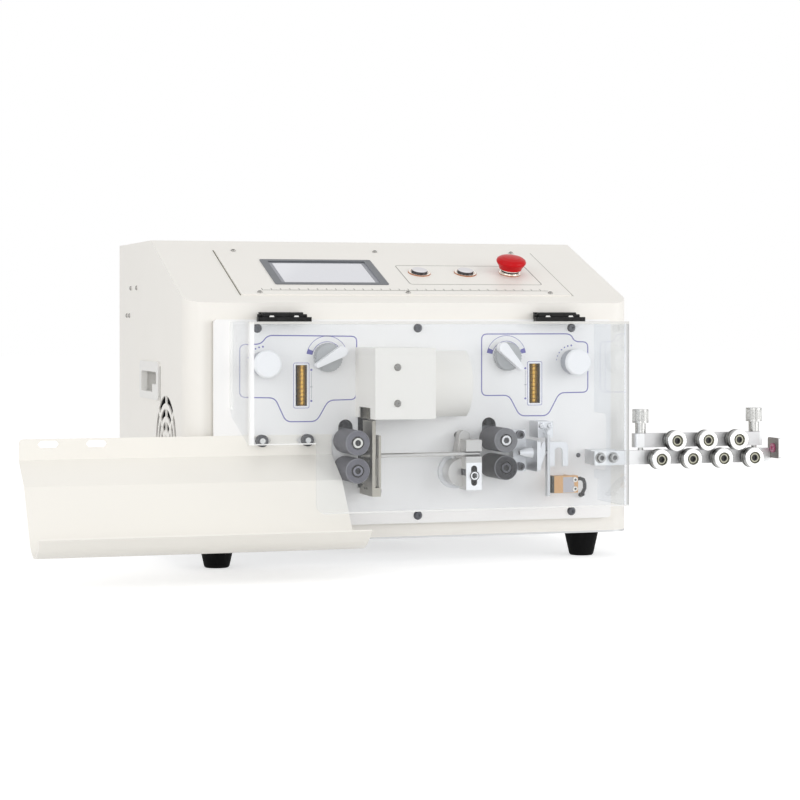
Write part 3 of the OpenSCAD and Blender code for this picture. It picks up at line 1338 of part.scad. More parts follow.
module wheel_upper_3() wheel(upper_wheel_x + 2 * wheel_pitch, wire_z + row_drop);

// Delivery tray: one bent sheet, from its fastening edge to its lip
tray_line = concat([[tray_y + sheet_t / 2, tray_top], [tray_y + sheet_t / 2, tray_fold_z], tray_bend],
    arc_points([trough_y, trough_z + trough_r], trough_r - sheet_t / 2, -trough_a, -90 - lip_a, 36),
    [lip_tip]);
module tray() placed() color(cream) difference() {
    in_yz(tray_x0, tray_x0 + tray_len) sheet_line(tray_line, sheet_t);
    for (x = tray_slots) in_xz(tray_y - 1, tray_y + 2 * sheet_t) translate([x, tray_slot_z])
        polygon([for (s = [[-1, 0], [-0.72, 1], [0.72, 1], [1, 0], [0.72, -1], [-0.72, -1]])
            [s[0] * tray_slot_len / 2, s[1] * tray_slot_w / 2]]);
    in_xz(tray_y - 1, tray_y + 2 * sheet_t) polygon(concat([[tray_x0 - 1, tray_top - 4]],
        arc_points([tray_x0 + 4, tray_top - 4], 4, 180, 90, 6),
        [[tray_x0 + 4, tray_top + 1], [tray_x0 - 1, tray_top + 1]]));
}

module tray_knobs() placed() color("#3B3B3E") for (i = [2, 3])
    facing_front(tray_slots[i], tray_y, tray_slot_z) {
        difference() {
            rotate_extrude() polygon([[0, 0], [tray_knob_d / 2 - 0.6, 0], [tray_knob_d / 2, 0.6],
                [tray_knob_d / 2, 7], [tray_knob_d / 2 - 1, 8], [0, 8]]);
            for (a = [0 : 30 : 330]) rotate(a) translate([tray_knob_d / 2 + 0.4, 0, 1])
                cylinder(d = 1.8, h = 5);
        }
        translate([0, 0, -sheet_t]) cylinder(d = 5, h = sheet_t + 0.1);
    }

case_shell();
base_plate();
rear_panel();
feet();
screws();
carry_handles();
deck_panel();
screen_unit();
control_collars();
mains_inlet();
fan_frame();
power_supply();
control_board();
front_plate();
hinge_blocks();
cutter_cover();
blade_guide();
inlet_guides();
sensor_switch();
sensor_lead();
straightener_frame();
wire_eyelet();
tray();
tray_knobs();
bearing_plate();
drive_motors();
guard();
hinge_leaves();
pressure_knob_left();
pressure_knob_right();
gap_knob_left();
gap_knob_right();
swing_arm_left();
swing_arm_right();
pressure_spring_left();
pressure_spring_right();
feed_roller_upper_left();
feed_roller_lower_left();
feed_roller_upper_right();
feed_roller_lower_right();
blade_screw();
blade_carrier_upper();
blade_carrier_lower();
fan_rotor();
push_button_left();
push_button_right();
stop_button();
power_rocker();
guide_arm();
sensor_lever();
straightener_bar();
thumb_screw_left();
thumb_screw_right();
wheel_lower_1();
wheel_lower_2();
wheel_lower_3();
wheel_lower_4();
wheel_upper_1();
wheel_upper_2();
wheel_upper_3();
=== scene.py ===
"""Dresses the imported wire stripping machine: its finishes, printed lines, springs and studio.

Places and sizes are the CAD's millimetres. The shared frame is in metres and moved by SHIFT_MM.
"""

from __future__ import annotations

import logging
import math
from dataclasses import dataclass
from enum import Enum

import bpy
import numpy as np
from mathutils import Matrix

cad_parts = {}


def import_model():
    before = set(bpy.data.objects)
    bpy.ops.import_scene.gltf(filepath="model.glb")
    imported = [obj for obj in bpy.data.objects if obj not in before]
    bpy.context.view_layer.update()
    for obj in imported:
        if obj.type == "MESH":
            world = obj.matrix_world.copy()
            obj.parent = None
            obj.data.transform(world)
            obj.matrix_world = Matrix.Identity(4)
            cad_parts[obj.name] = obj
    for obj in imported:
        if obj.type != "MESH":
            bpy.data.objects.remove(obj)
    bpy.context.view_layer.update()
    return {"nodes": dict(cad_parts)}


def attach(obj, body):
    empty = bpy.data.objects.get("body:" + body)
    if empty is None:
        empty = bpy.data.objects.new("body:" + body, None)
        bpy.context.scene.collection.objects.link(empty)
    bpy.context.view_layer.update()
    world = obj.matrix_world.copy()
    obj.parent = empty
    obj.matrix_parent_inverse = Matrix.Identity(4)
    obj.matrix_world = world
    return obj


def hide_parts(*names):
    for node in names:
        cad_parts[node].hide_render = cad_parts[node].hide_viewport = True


LOG = logging.getLogger("machine")
Tree = bpy.types.NodeTree
Socket = bpy.types.NodeSocket
Node = bpy.types.Node
Piece = bpy.types.Object
Place = tuple[float, float, float]
Flat = tuple[float, float]
# The shared frame's origin in the CAD's millimetres
SHIFT_MM = np.array([237.5, 114.526244, 0.0])
# The fixed body, on which every new piece rides
MACHINE = "machine"
# Y of the front plate's face and Z of the fold above it. Behind that fold the deck rises by 69 mm
# over 183 mm.
PLATE_FACE = -8.0
FOLD_Z = 274.0
SLOPE = math.atan2(69.0, 183.0)
# The outward directions of the plate and the deck
PLATE_OUT = np.array([0.0, -1.0, 0.0])
DECK_OUT = np.array([0.0, -math.sin(SLOPE), math.cos(SLOPE)])
# Thickness of the deck's panel and of printed ink
PANEL_T = 1.5
INK_H = 0.08
# The row of the screen, the push buttons and the stop: its distance up the slope, and their X
ROW_S = 90.0
SCREEN_X = 169.0
BUTTONS_X = (277.0, 330.0)
STOP_X = 382.0
# Y of the guard's front sheet, of the wire and of the straightening wheels' faces
GUARD_Y = -94.5
WIRE_Y = -40.0
WHEEL_FRONT = -48.6
# The wheels' axles: X of the first and Z of each row, and the step from one to the next
LOWER_AXLES = (506.0, 107.2)
UPPER_AXLES = (524.2, 126.8)
AXLE_STEP = 36.4


class Axis(Enum):
    """A coordinate, or the direction that a brushed finish runs in."""

    X = 0
    Y = 1
    Z = 2


def linear(code: str) -> tuple[float, float, float, float]:
    """Turns an sRGB hex colour into linear light.

    A value c of 0 to 1 becomes c / 12.92 up to 0.04045, and ((c + 0.055) / 1.055) ** 2.4 above.

    Args:
        code: the colour as "#RRGGBB".

    Returns:
        The linear red, green, blue and an alpha of 1.
    """
    raw = np.array([int(code[i:i + 2], 16) for i in (1, 3, 5)]) / 255
    flat = np.where(raw <= 0.04045, raw / 12.92, ((raw + 0.055) / 1.055) ** 2.4)
    return (*flat.tolist(), 1.0)


def to_row(points: np.ndarray) -> np.ndarray:
    """Moves points from the machine's millimetres into the shared frame in metres.

    Args:
        points: an array whose last axis is X, Y, Z in millimetres.

    Returns:
        The same points in metres.
    """
    return (np.asarray(points, dtype=float) - SHIFT_MM) / 1000


def on_plate(flat: np.ndarray | list[Flat]) -> np.ndarray:
    """Lays flat X, Z points on the front plate's face.

    Args:
        flat: points as (n, 2) X and Z in millimetres.

    Returns:
        Points as (n, 3) in the machine's millimetres.
    """
    flat = np.asarray(flat, dtype=float)
    return np.column_stack([flat[:, 0], np.full(len(flat), PLATE_FACE), flat[:, 1]])


def on_deck(flat: np.ndarray | list[Flat]) -> np.ndarray:
    """Lays flat points on the sloping deck: s up the slope is at Y = s cos a and Z = fold + s sin a.

    Args:
        flat: points as (n, 2) X and distance up the slope in millimetres.

    Returns:
        Points as (n, 3) in the machine's millimetres.
    """
    flat = np.asarray(flat, dtype=float)
    up = flat[:, 1]
    return np.column_stack([flat[:, 0], up * math.cos(SLOPE), FOLD_Z + up * math.sin(SLOPE)])


def deck_row(out: float, *xs: float) -> tuple[Place, ...]:
    """Gives places on the deck's row of controls, at one distance over the deck."""
    places = on_deck([(x, ROW_S) for x in xs]) + out * DECK_OUT
    return tuple(map(tuple, places.tolist()))


def spots(xs: tuple[float, ...], y: float, zs: tuple[float, ...]) -> tuple[Place, ...]:
    """Gives a place for every X with every Z, at one Y."""
    return tuple((x, y, z) for x in xs for z in zs)


def axles(y: float) -> tuple[Place, ...]:
    """Gives a place on the axle of each of the four lower and three upper wheels, at one Y."""
    return tuple((first + AXLE_STEP * k, y, z)
                 for (first, z), count in ((LOWER_AXLES, 4), (UPPER_AXLES, 3)) for k in range(count))


def add(tree: Tree, kind: str, inputs: dict | None = None, **settings) -> Node:
    """Adds one shader node with its settings, values and links.

    Args:
        tree: the node tree.
        kind: Blender's name for the node.
        inputs: socket name or number to a value, or to an output socket to link.
        settings: properties of the node.

    Returns:
        The new node.
    """
    node = tree.nodes.new(kind)
    for key, value in settings.items():
        setattr(node, key, value)
    for key, value in (inputs or {}).items():
        if isinstance(value, Socket):
            tree.links.new(value, node.inputs[key])
        else:
            node.inputs[key].default_value = value
    return node


def calc(tree: Tree, operation: str, a: Socket, b: Socket | float) -> Socket:
    """Joins two values by the arithmetic that Blender calls by the operation's name."""
    return add(tree, "ShaderNodeMath", {0: a, 1: b}, operation=operation).outputs[0]


def mix(tree: Tree, factor: Socket, a: tuple | Socket, b: tuple | Socket) -> Socket:
    """Mixes two colours: a (1 - factor) + b factor."""
    return add(tree, "ShaderNodeMix", {0: factor, 6: a, 7: b}, data_type="RGBA").outputs[2]


def band(tree: Tree, factor: Socket, low: float, high: float) -> Socket:
    """Maps a factor of 0 to 1 onto the range from low to high."""
    inputs = {"Value": factor, "To Min": low, "To Max": high}
    return add(tree, "ShaderNodeMapRange", inputs).outputs["Result"]


def part_of(tree: Tree, where: Socket, axis: Axis) -> Socket:
    """Gives one coordinate of a vector."""
    return add(tree, "ShaderNodeSeparateXYZ", {0: where}).outputs[axis.value]


def coordinates(tree: Tree) -> Socket:
    """Gives the Object coordinates that all patterns use."""
    return add(tree, "ShaderNodeTexCoord").outputs["Object"]


def noise(tree: Tree, where: Socket, size_mm: float, detail: float = 2.0) -> Socket:
    """Adds noise whose patches are about size_mm across.

    Args:
        tree: the node tree.
        where: the coordinates.
        size_mm: the size of one patch in millimetres.
        detail: octaves of finer noise.

    Returns:
        The factor, from 0 to 1.
    """
    inputs = {"Vector": where, "Scale": 1000.0 / size_mm, "Detail": detail}
    return add(tree, "ShaderNodeTexNoise", inputs).outputs["Fac"]


def fresh(data: bpy.types.Material | bpy.types.World) -> Tree:
    """Lets a material or a world use nodes and gives its tree, emptied."""
    data.use_nodes = True
    data.node_tree.nodes.clear()
    return data.node_tree


@dataclass(frozen=True)
class Patch:
    """Part of a surface that has another finish, such as a screw's head or a printed field, or that
    has painted light and shade, such as the shade in a bore.

    A round patch holds the points whose offset from its place, divided by its half sizes along X, Y
    and Z, is shorter than 1, so one long half makes it a rod. A square patch is a box. The tilt
    turns it about X.
    """

    places: tuple[Place, ...]
    half: Place
    colour: str
    metallic: float = 0.0
    roughness: float = 0.4
    square: bool = False
    tilt: float = 0.0

    def reach(self, tree: Tree, where: Socket, place: Place) -> Socket:
        """Gives how far a point lies from one place, where 1 is the patch's edge."""
        local = add(tree, "ShaderNodeMapping", {
            "Vector": where, "Location": tuple(to_row(place).tolist()), "Rotation": (self.tilt, 0.0, 0.0),
            "Scale": tuple(h / 1000 for h in self.half)}, vector_type="TEXTURE").outputs[0]
        if not self.square:
            return add(tree, "ShaderNodeVectorMath", {0: local}, operation="LENGTH").outputs["Value"]
        size = add(tree, "ShaderNodeVectorMath", {0: local}, operation="ABSOLUTE").outputs[0]
        x, y, z = add(tree, "ShaderNodeSeparateXYZ", {0: size}).outputs
        return calc(tree, "MAXIMUM", calc(tree, "MAXIMUM", x, y), z)

    def inside(self, tree: Tree, where: Socket) -> Socket:
        """Gives 1 inside the patch at any of its places, and 0 outside."""
        least = self.reach(tree, where, self.places[0])
        for place in self.places[1:]:
            least = calc(tree, "MINIMUM", least, self.reach(tree, where, place))
        return calc(tree, "LESS_THAN", least, 1.0)


def box(place: Place, half: Place, colour: str, metallic: float = 0.0, roughness: float = 0.4) -> Patch:
    """Makes a square patch at one place, from its half sizes."""
    return Patch((place,), half, colour, metallic, roughness, square=True)


def rod(places: tuple[Place, ...], radius: float, colour: str, metallic: float = 0.0,
        roughness: float = 0.35, reach: float = 400.0) -> Patch:
    """Makes a round patch along Y, which stays close to a rod within a third of its reach.

    Args:
        places: its middles in the machine's millimetres.
        radius: its radius.
        colour: its colour.
        metallic: 1 for metal.
        roughness: its roughness.
        reach: half its length along Y.

    Returns:
        The patch.
    """
    return Patch(places, (radius, reach, radius), colour, metallic, roughness)


@dataclass(frozen=True)
class Finish:
    """What every finish has: a base colour, a roughness and a grain of a real size.

    The colour drifts by `drift` over `drift_mm`, the roughness by `rough_drift` over 0.6 times
    that, and the surface rises and falls by `relief_mm` at `grain_mm`.
    """

    title: str
    colour: str
    roughness: float = 0.45
    grain_mm: float = 1.2
    relief_mm: float = 0.01
    drift: float = 0.03
    drift_mm: float = 45.0
    rough_drift: float = 0.06
    specular: float = 0.5
    patches: tuple[Patch, ...] = ()

    def colours(self, tree: Tree, where: Socket) -> Socket:
        """Makes the surface colour: the base, a little darker in soft patches."""
        base = linear(self.colour)
        dark = tuple(c * (1 - self.drift) for c in base[:3]) + (1.0,)
        return mix(tree, noise(tree, where, self.drift_mm, 3.0), base, dark)

    def grain(self, tree: Tree, where: Socket) -> Socket:
        """Gives the height of the relief: noise of the grain's size."""
        return noise(tree, where, self.grain_mm)

    def shader(self, tree: Tree) -> Node:
        """Makes the Principled shader of the finish, which kinds of finish add to."""
        where = coordinates(tree)
        rough = noise(tree, where, self.drift_mm * 0.6)
        low, high = self.roughness - self.rough_drift, self.roughness + self.rough_drift
        relief = {"Height": self.grain(tree, where), "Distance": self.relief_mm / 1000, "Strength": 1.0}
        return add(tree, "ShaderNodeBsdfPrincipled", {
            "Base Color": self.colours(tree, where),
            "Roughness": band(tree, rough, low, high),
            "Normal": add(tree, "ShaderNodeBump", relief).outputs["Normal"],
            "Specular IOR Level": self.specular,
        })

    def material(self) -> bpy.types.Material:
        """Makes the material once and gives it again after that."""
        found = bpy.data.materials.get(self.title)
        if found is not None:
            return found
        made = bpy.data.materials.new(self.title)
        tree = fresh(made)
        shown = self.shader(tree)
        self.lay(tree, shown)
        add(tree, "ShaderNodeOutputMaterial", {"Surface": shown.outputs[0]})
        return made

    def lay(self, tree: Tree, node: Node) -> None:
        """Lays the patches over the shader, one after the other.

        A value that is the same inside and outside stays on the shader's own socket.

        Args:
            tree: the node tree.
            node: the Principled shader.
        """
        for patch in self.patches:
            inside = patch.inside(tree, coordinates(tree))
            colour = node.inputs["Base Color"]
            tree.links.new(mix(tree, inside, colour.links[0].from_socket, linear(patch.colour)), colour)
            for name, value in (("Metallic", patch.metallic), ("Roughness", patch.roughness)):
                socket = node.inputs[name]
                under = socket.links[0].from_socket if socket.links else socket.default_value
                if under != value:
                    mixed = add(tree, "ShaderNodeMix", {0: inside, 2: under, 3: value})
                    tree.links.new(mixed.outputs[0], socket)


@dataclass(frozen=True)
class Metal(Finish):
    """Bare or plated metal, whose grain is drawn out along one axis where it was brushed or turned."""

    run: Axis = Axis.X
    pull: float = 30.0

    def grain(self, tree: Tree, where: Socket) -> Socket:
        """Makes lines by stretching the noise along the axis that the brush ran in."""
        stretch = [1.0, 1.0, 1.0]
        stretch[self.run.value] = 1.0 / self.pull
        turned = add(tree, "ShaderNodeMapping", {"Vector": where, "Scale": tuple(stretch)})
        return super().grain(tree, turned.outputs["Vector"])

    def shader(self, tree: Tree) -> Node:
        """Adds metal to the shader of every finish."""
        node = super().shader(tree)
        node.inputs["Metallic"].default_value = 1.0
        return node


@dataclass(frozen=True)
class Lacquer(Finish):
    """Paint or plastic under a clear gloss."""

    coat: float = 0.5
    coat_roughness: float = 0.08

    def shader(self, tree: Tree) -> Node:
        """Adds a clear coat to the shader of every finish."""
        node = super().shader(tree)
        node.inputs["Coat Weight"].default_value = self.coat
        node.inputs["Coat Roughness"].default_value = self.coat_roughness
        return node


@dataclass(frozen=True)
class TwoTone(Finish):
    """Moulding in two colours, which meet at one distance in front of the case."""

    front: str = "#FFFFFF"
    edge_mm: float = -20.0

    def colours(self, tree: Tree, where: Socket) -> Socket:
        """Uses the front colour where Y lies in front of the edge."""
        edge = (self.edge_mm - SHIFT_MM[1]) / 1000
        ahead = calc(tree, "LESS_THAN", part_of(tree, where, Axis.Y), edge)
        return mix(tree, ahead, super().colours(tree, where), linear(self.front))


@dataclass(frozen=True)
class ClearSheet(Finish):
    """Polished clear sheet, thin enough to show what is behind it where it is.

    Each face reflects by Schlick's formula r + (1 - r) (1 - cos) ** 5, where r is `head_on`, and lets
    the rest straight through. The rims are the strips where one looks into the sheet's own thickness,
    with painted light on them.
    """

    rims: tuple[Patch, ...] = ()
    rim_weight: float = 0.7
    head_on: float = 0.04

    def shader(self, tree: Tree) -> Node:
        """Makes the sheet, its rims' painted light and a see-through shader for the lamps' rays alone."""
        where = coordinates(tree)
        rough = band(tree, noise(tree, where, self.drift_mm), 0.0, self.roughness)
        clear = add(tree, "ShaderNodeBsdfTransparent", {"Color": linear(self.colour)})
        gloss = add(tree, "ShaderNodeBsdfGlossy", {"Roughness": rough})
        facing = add(tree, "ShaderNodeLayerWeight", {"Blend": 0.5}).outputs["Facing"]
        mirror = band(tree, calc(tree, "POWER", facing, 5.0), self.head_on, 1.0)
        shown = add(tree, "ShaderNodeMixShader", {0: mirror, 1: clear.outputs[0], 2: gloss.outputs[0]})
        # painted light: each rim mixes a pale or grey diffuse shader over the clear sheet
        for patch in self.rims:
            inside = calc(tree, "MULTIPLY", patch.inside(tree, where), self.rim_weight)
            inputs = {"Base Color": linear(patch.colour), "Roughness": patch.roughness}
            rim = add(tree, "ShaderNodeBsdfPrincipled", inputs)
            shown = add(tree, "ShaderNodeMixShader", {0: inside, 1: shown.outputs[0], 2: rim.outputs[0]})
        lamps = add(tree, "ShaderNodeLightPath").outputs["Is Shadow Ray"]
        through = add(tree, "ShaderNodeBsdfTransparent", {"Color": (1.0, 1.0, 1.0, 1.0)})
        return add(tree, "ShaderNodeMixShader", {0: lamps, 1: shown.outputs[0], 2: through.outputs[0]})


@dataclass(frozen=True)
class Display(Lacquer):
    """Screen that is off, with the studio's soft light across it as a pale slanting band."""

    far: str = "#D2D3DA"
    angle: float = 35.0
    width_mm: float = 55.0
    shift: float = 1.35
    edge: Flat = (-0.2, 0.35)

    def colours(self, tree: Tree, where: Socket) -> Socket:
        """Goes from one grey to the other across a slanting edge."""
        turned = add(tree, "ShaderNodeMapping", {
            "Vector": where, "Rotation": (0.0, 0.0, math.radians(self.angle)),
            "Scale": (1000 / self.width_mm,) * 3, "Location": (self.shift, 0.0, 0.0)}).outputs["Vector"]
        low, high = self.edge
        inputs = {"Value": part_of(tree, turned, Axis.X), "From Min": low, "From Max": high}
        edge = add(tree, "ShaderNodeMapRange", inputs, interpolation_type="SMOOTHSTEP").outputs["Result"]
        return mix(tree, edge, linear(self.colour), linear(self.far))


# Powder coat on folded steel: a soft sheen with the fine ripple of baked powder, and a painted
# shade line on the case's side at the front end of the left handle's pocket
CREAM_COAT = Finish("cream powder coated steel", "#F0EDE7", 0.42, 1.1, 0.012, 0.02, 60.0, patches=(
    # painted shade: a dark line where the handle's frame meets the case's side
    box((0.0, 131.0, 187.0), (0.5, 1.5, 19.0), "#5E5E5B"),
))
# The same powder on thinner sheet, a little glossier on the tray's long bends
TRAY_COAT = Finish("cream powder coated tray steel", "#F1EEE7", 0.36, 1.3, 0.010, 0.02, 80.0)
# Satin paint on the milled aluminium plate, with painted shade on the walls of its holes and a
# painted shadow along its left edge
PLATE_PAINT = Finish("satin white painted aluminium", "#F4F3F2", 0.38, 0.8, 0.004, 0.015, 70.0, patches=(
    # painted shade: dark walls in the plate's holes and slots
    box((246.0, -3.3, 157.5), (186.0, 4.3, 87.5), "#3A3A3E"),
    # painted shadow: a dark line along the plate's left edge, where it meets the case
    box((28.0, -1.2, 157.0), (0.6, 1.3, 110.0), "#8E8778"),
))
# Screen-printed inks: flat, and a hair proud of the paint
INK = (0.5, 0.4, 0.002, 0.05, 12.0)
VIOLET_INK = Finish("violet screen ink", "#6E6BB0", *INK)
GREY_INK = Finish("grey screen ink", "#8A8C96", *INK)
DECK_INK = Finish("olive grey screen ink", "#84847C", *INK)
WHITE_INK = Finish("white screen ink", "#F6F6F8", 0.45, 0.4, 0.002, 0.02, 12.0)
# Joints between the deck's panel and the case: painted shade along them, a dark line where the
# joint lies in shade and a faint one where it lies in the light
SEAM = (0.6, 0.4, 0.002, 0.1, 12.0)
DARK_SEAM_SHADE = Finish("shaded joint", "#6C6A5A", *SEAM)
FAINT_SEAM_SHADE = Finish("lit joint", "#A8A69E", *SEAM)
# Cast acrylic sheet with polished faces: all but invisible, with painted light on its cut edges:
# pale painted highlights on most of them and a grey one on the right edge
ACRYLIC = ClearSheet("clear cast acrylic", "#FCFDFE", 0.02, rims=(
    box((46.2, GUARD_Y, 194.0), (2.9, 3.6, 61.0), "#FCFCFC"),
    box((46.0, -9.5, 194.0), (2.0, 1.6, 62.0), "#FAFAF8"),
    box((446.0, GUARD_Y, 159.0), (1.7, 1.7, 96.0), "#B4B4B3"),
    box((246.0, GUARD_Y, 253.6), (202.0, 1.8, 1.6), "#DDDBD6"),
    box((280.0, GUARD_Y, 64.0), (168.0, 1.8, 0.9), "#EDEDEB"),
    box((78.0, GUARD_Y, 133.2), (34.0, 1.8, 0.9), "#F1F1EF"),
))
# Cast polyurethane rollers: X and Z of their axis, and colours of body, face, screw and socket.
# These colours are painted light and shade: lit and shaded copies of one polyurethane and one
# screw steel, the upper screws painted bright and the lower right roller the darkest
ROLLER_FRONT = -58.0
ROLLERS = {
    "upper_left": (166.0, 131.2, "#56555C", "#6C6B73", "#D3D2CB", "#3C3C3E"),
    "lower_left": (166.0, 102.8, "#504F57", "#64636B", "#77767E", "#29292C"),
    "upper_right": (326.0, 131.2, "#4B4A4F", "#717174", "#D6D6D6", "#6C6C6E"),
    "lower_right": (326.0, 102.8, "#131315", "#26262A", "#535358", "#0A0A0B"),
}


def roller_finish(name: str) -> Finish:
    """Makes the finish of one roller: body, chamfered edge, face, recess, screw and its socket."""
    x, z, body, face, head, socket = ROLLERS[name]
    axis = ((x, ROLLER_FRONT, z),)
    return Finish(f"grey cast polyurethane {name}", body, 0.5, 0.35, 0.02, 0.08, 9.0, specular=0.2,
                  patches=(
        # painted highlight: a pale ring on the chamfered front edge
        box(axis[0], (13.2, 0.7, 13.2), "#8C8C91", roughness=0.35),
        rod(axis, 12.1, face, roughness=0.5),
        # painted shade: a near-black ring in the recess round the screw
        rod(axis, 6.7, "#1C1C1E", roughness=0.5),
        rod(axis, 5.2, head, 1.0, 0.3),
        # painted shade in the screw's socket
        rod(((x, ROLLER_FRONT - 2.0, z),), 3.1, socket, roughness=0.4, reach=12.0),
    ))


# Gap knobs: a grey ribbed skirt under a white bar
GAP_ABS = TwoTone("grey moulded ABS with white bar", "#B4B6B7", 0.38, 0.25, 0.008, 0.04, 15.0,
                  front="#F4F4F5", edge_mm=-17.0)
# Pressure knobs: a white cap on a grey knurled ring
PRESSURE_ABS = TwoTone("white moulded ABS with grey grip", "#A8ABB2", 0.36, 0.25, 0.008, 0.03, 15.0,
                       front="#F5F5F6", edge_mm=-23.6)
HANDLE_ABS = Finish("pale grey moulded ABS", "#E8E7E4", 0.4, 0.25, 0.008, 0.03, 15.0)
BLACK_NYLON = Finish("black moulded nylon", "#19191B", 0.45, 0.5, 0.015, 0.15, 15.0)
# Stop mushroom: polished red plastic with a thin clear gloss
RED_GLOSS = Lacquer("glossy red plastic", "#C60E17", 0.3, 0.6, 0.002, 0.05, 12.0, specular=0.12, coat=0.05)
FOOT_RUBBER = Finish("black vulcanised rubber", "#0B0B0C", 0.75, 0.6, 0.03, 0.2, 10.0, specular=0.12)
# Black painted hinges, with the bright heads of the leaves' screws
BLACK_HINGE = Finish("black painted hinge steel", "#080809", 0.4, 0.5, 0.01, 0.15, 10.0, specular=0.3,
                     patches=(
    Patch(spots((85.6, 111.6, 386.8, 412.8), -20.5, (262.0,)), (3.3, 3.3, 8.0), "#ECECEA", 1.0, 0.3),
))
# Zinc plate on pressed steel: cool grey with a soft bloom
ZINC = Metal("zinc plated steel", "#C4C5C6", 0.38, 0.8, 0.004, 0.06, 18.0)
# Ground tool steel: warm grey with lines from the grinder along its height
GROUND_STEEL = Metal("ground tool steel", "#98958D", 0.34, 0.35, 0.004, 0.1, 14.0, run=Axis.Z)
# The same steel on the blades' guide, whose right-hand strip is painted cream and has a dark screw
GUIDE_STEEL = Metal("ground tool steel with cream strip", "#A6A299", 0.36, 0.35, 0.004, 0.12, 14.0,
                    run=Axis.Z, patches=(
    box((191.0, -37.0, 107.0), (1.3, 18.0, 34.0), "#F3F0E8"),
    box((193.2, -44.0, 81.0), (1.4, 5.2, 5.2), "#3A3742"),
    box((187.0, -54.0, 114.0), (7.0, 0.5, 42.0), "#ABA69B", 1.0, 0.35),
))
# Bright steel turned on a lathe
TURNED_STEEL = Metal("turned bright steel", "#C9CACC", 0.22, 0.3, 0.003, 0.05, 10.0)
# Screws: bright heads on the case, dark ones on the plate
SCREW_STEEL = Metal("turned screw steel", "#94928E", 0.28, 0.3, 0.003, 0.05, 10.0, patches=(
    box((246.0, -11.0, 140.0), (300.0, 5.6, 150.0), "#5E5F63", 1.0, 0.35),
))
# Milled steel behind the plate, dark from oil
OILED_STEEL = Metal("oiled milled steel", "#515257", 0.42, 0.5, 0.006, 0.1, 16.0)
# Inlet plate and lever bracket of anodised aluminium, with dark socket screws and painted shade
# in their sockets
INLET_ALLOY = Metal("clear anodised inlet parts", "#D6D7D9", 0.38, 0.4, 0.004, 0.05, 16.0, patches=(
    rod(spots((354.0,), -24.0, (101.5, 135.0)), 4.6, "#5B5B5F", 1.0, reach=9.0),
    # painted shade in the screws' sockets
    rod(spots((354.0,), -28.0, (101.5, 135.0)), 2.6, "#222224", reach=6.0),
))
# Guide block and its hub: pale metal, with a painted highlight on the block's front and painted
# shade in its bore, notch and slots, round the screw's head and in its socket
BLOCK_SCREW = ((295.0, -52.0, 94.5),)
GUIDE_ALLOY = Metal("clear anodised guide block", "#C2C0BD", 0.36, 0.4, 0.004, 0.04, 16.0, patches=(
    # painted highlight on the block's front face
    box((295.0, -46.0, 92.0), (8.6, 0.5, 16.0), "#E9E9EA", 1.0, 0.36),
    # painted shade in the notch and the slot, and in the counterbore round the screw's head
    box((295.0, -44.65, 117.0), (9.0, 1.55, 2.7), "#26262A", roughness=0.5),
    box((295.0, -41.8, 94.5), (3.45, 4.0, 10.8), "#141416", roughness=0.6),
    rod(BLOCK_SCREW, 5.4, "#242426", roughness=0.4, reach=14.0),
    rod(BLOCK_SCREW, 4.3, "#F0F0F0", 1.0, 0.25, reach=14.0),
    # painted shade in the screw's socket, in a bore of the hub and in the slot beside it
    rod(BLOCK_SCREW, 3.05, "#2B2B2D", roughness=0.4, reach=14.0),
    rod(((280.3, -26.0, 97.5),), 4.2, "#0C0C0D", roughness=0.6, reach=6.0),
    box((286.5, -35.0, 97.8), (0.6, 9.0, 3.4), "#1C1C24", roughness=0.5),
))
# Straightener bars: the wheels' painted shadow across their middle, a grey face on the right end
# round the wire, painted shade round the fixing screws' heads and in their sockets, and on the
# axles' ends a painted warm reflection with painted shade in their sockets
BAR_SCREWS_X = (441.2, 456.0)
BAR_ALLOY = Metal("clear anodised straightener bars", "#D6D7D8", 0.4, 0.4, 0.004, 0.03, 16.0, patches=(
    # painted shadow of the wheels on the bars between them
    box((560.0, -27.0, 117.0), (68.0, 8.0, 20.0), "#C0C0C1", 1.0),
    box((641.0, WIRE_Y, 117.0), (0.5, 13.0, 11.5), "#96918E", 1.0, 0.5),
    # painted shade in the counterbores round the screws' heads
    rod(spots(BAR_SCREWS_X, -38.0, (109.5,)), 6.1, "#8F8F8D", 1.0, 0.4, reach=12.0),
    rod(spots(BAR_SCREWS_X, -41.0, (109.5,)), 4.3, "#ABABA9", 1.0, 0.3, reach=12.0),
    # painted shade in the screws' sockets
    rod(spots(BAR_SCREWS_X, -41.0, (109.5,)), 2.7, "#6E6E6E", reach=9.0),
    # painted warm reflection on the axles' ends, then painted shade in their sockets
    rod(axles(-49.0), 5.6, "#A8A797", 1.0, 0.3, reach=12.0),
    rod(axles(-49.0), 3.6, "#141412", reach=5.0),
))
NICKEL = Metal("nickel plated brass", "#BDBDBB", 0.28, 0.3, 0.004, 0.06, 8.0, run=Axis.Z)
# Hardened and ground straightening wheels, one steel in lit and shaded copies: painted shade in
# the groove, a painted highlight on the front faces and painted shade in the hubs
WHEEL_STEEL = Metal("hardened wheel steel", "#9C9C9A", 0.22, 0.3, 0.003, 0.03, 7.0, patches=(
    # painted shade in the groove round the rim
    box((560.0, WIRE_Y, 117.0), (90.0, 2.4, 30.0), "#5F5F5D", 1.0, 0.3),
    # painted highlight on the front faces
    box((560.0, WHEEL_FRONT, 117.0), (90.0, 0.7, 30.0), "#EAEAEA", 1.0, 0.25),
    # painted shade in the hubs' recesses
    rod(axles(-42.0), 6.4, "#7B7A6C", 1.0, 0.3, reach=90.0),
))
# Sand cast arms behind the plate, with the grain of the sand in all directions
CAST_ALLOY = Metal("sand cast aluminium alloy", "#77797C", 0.5, 1.2, 0.03, 0.1, 12.0, pull=1.0)
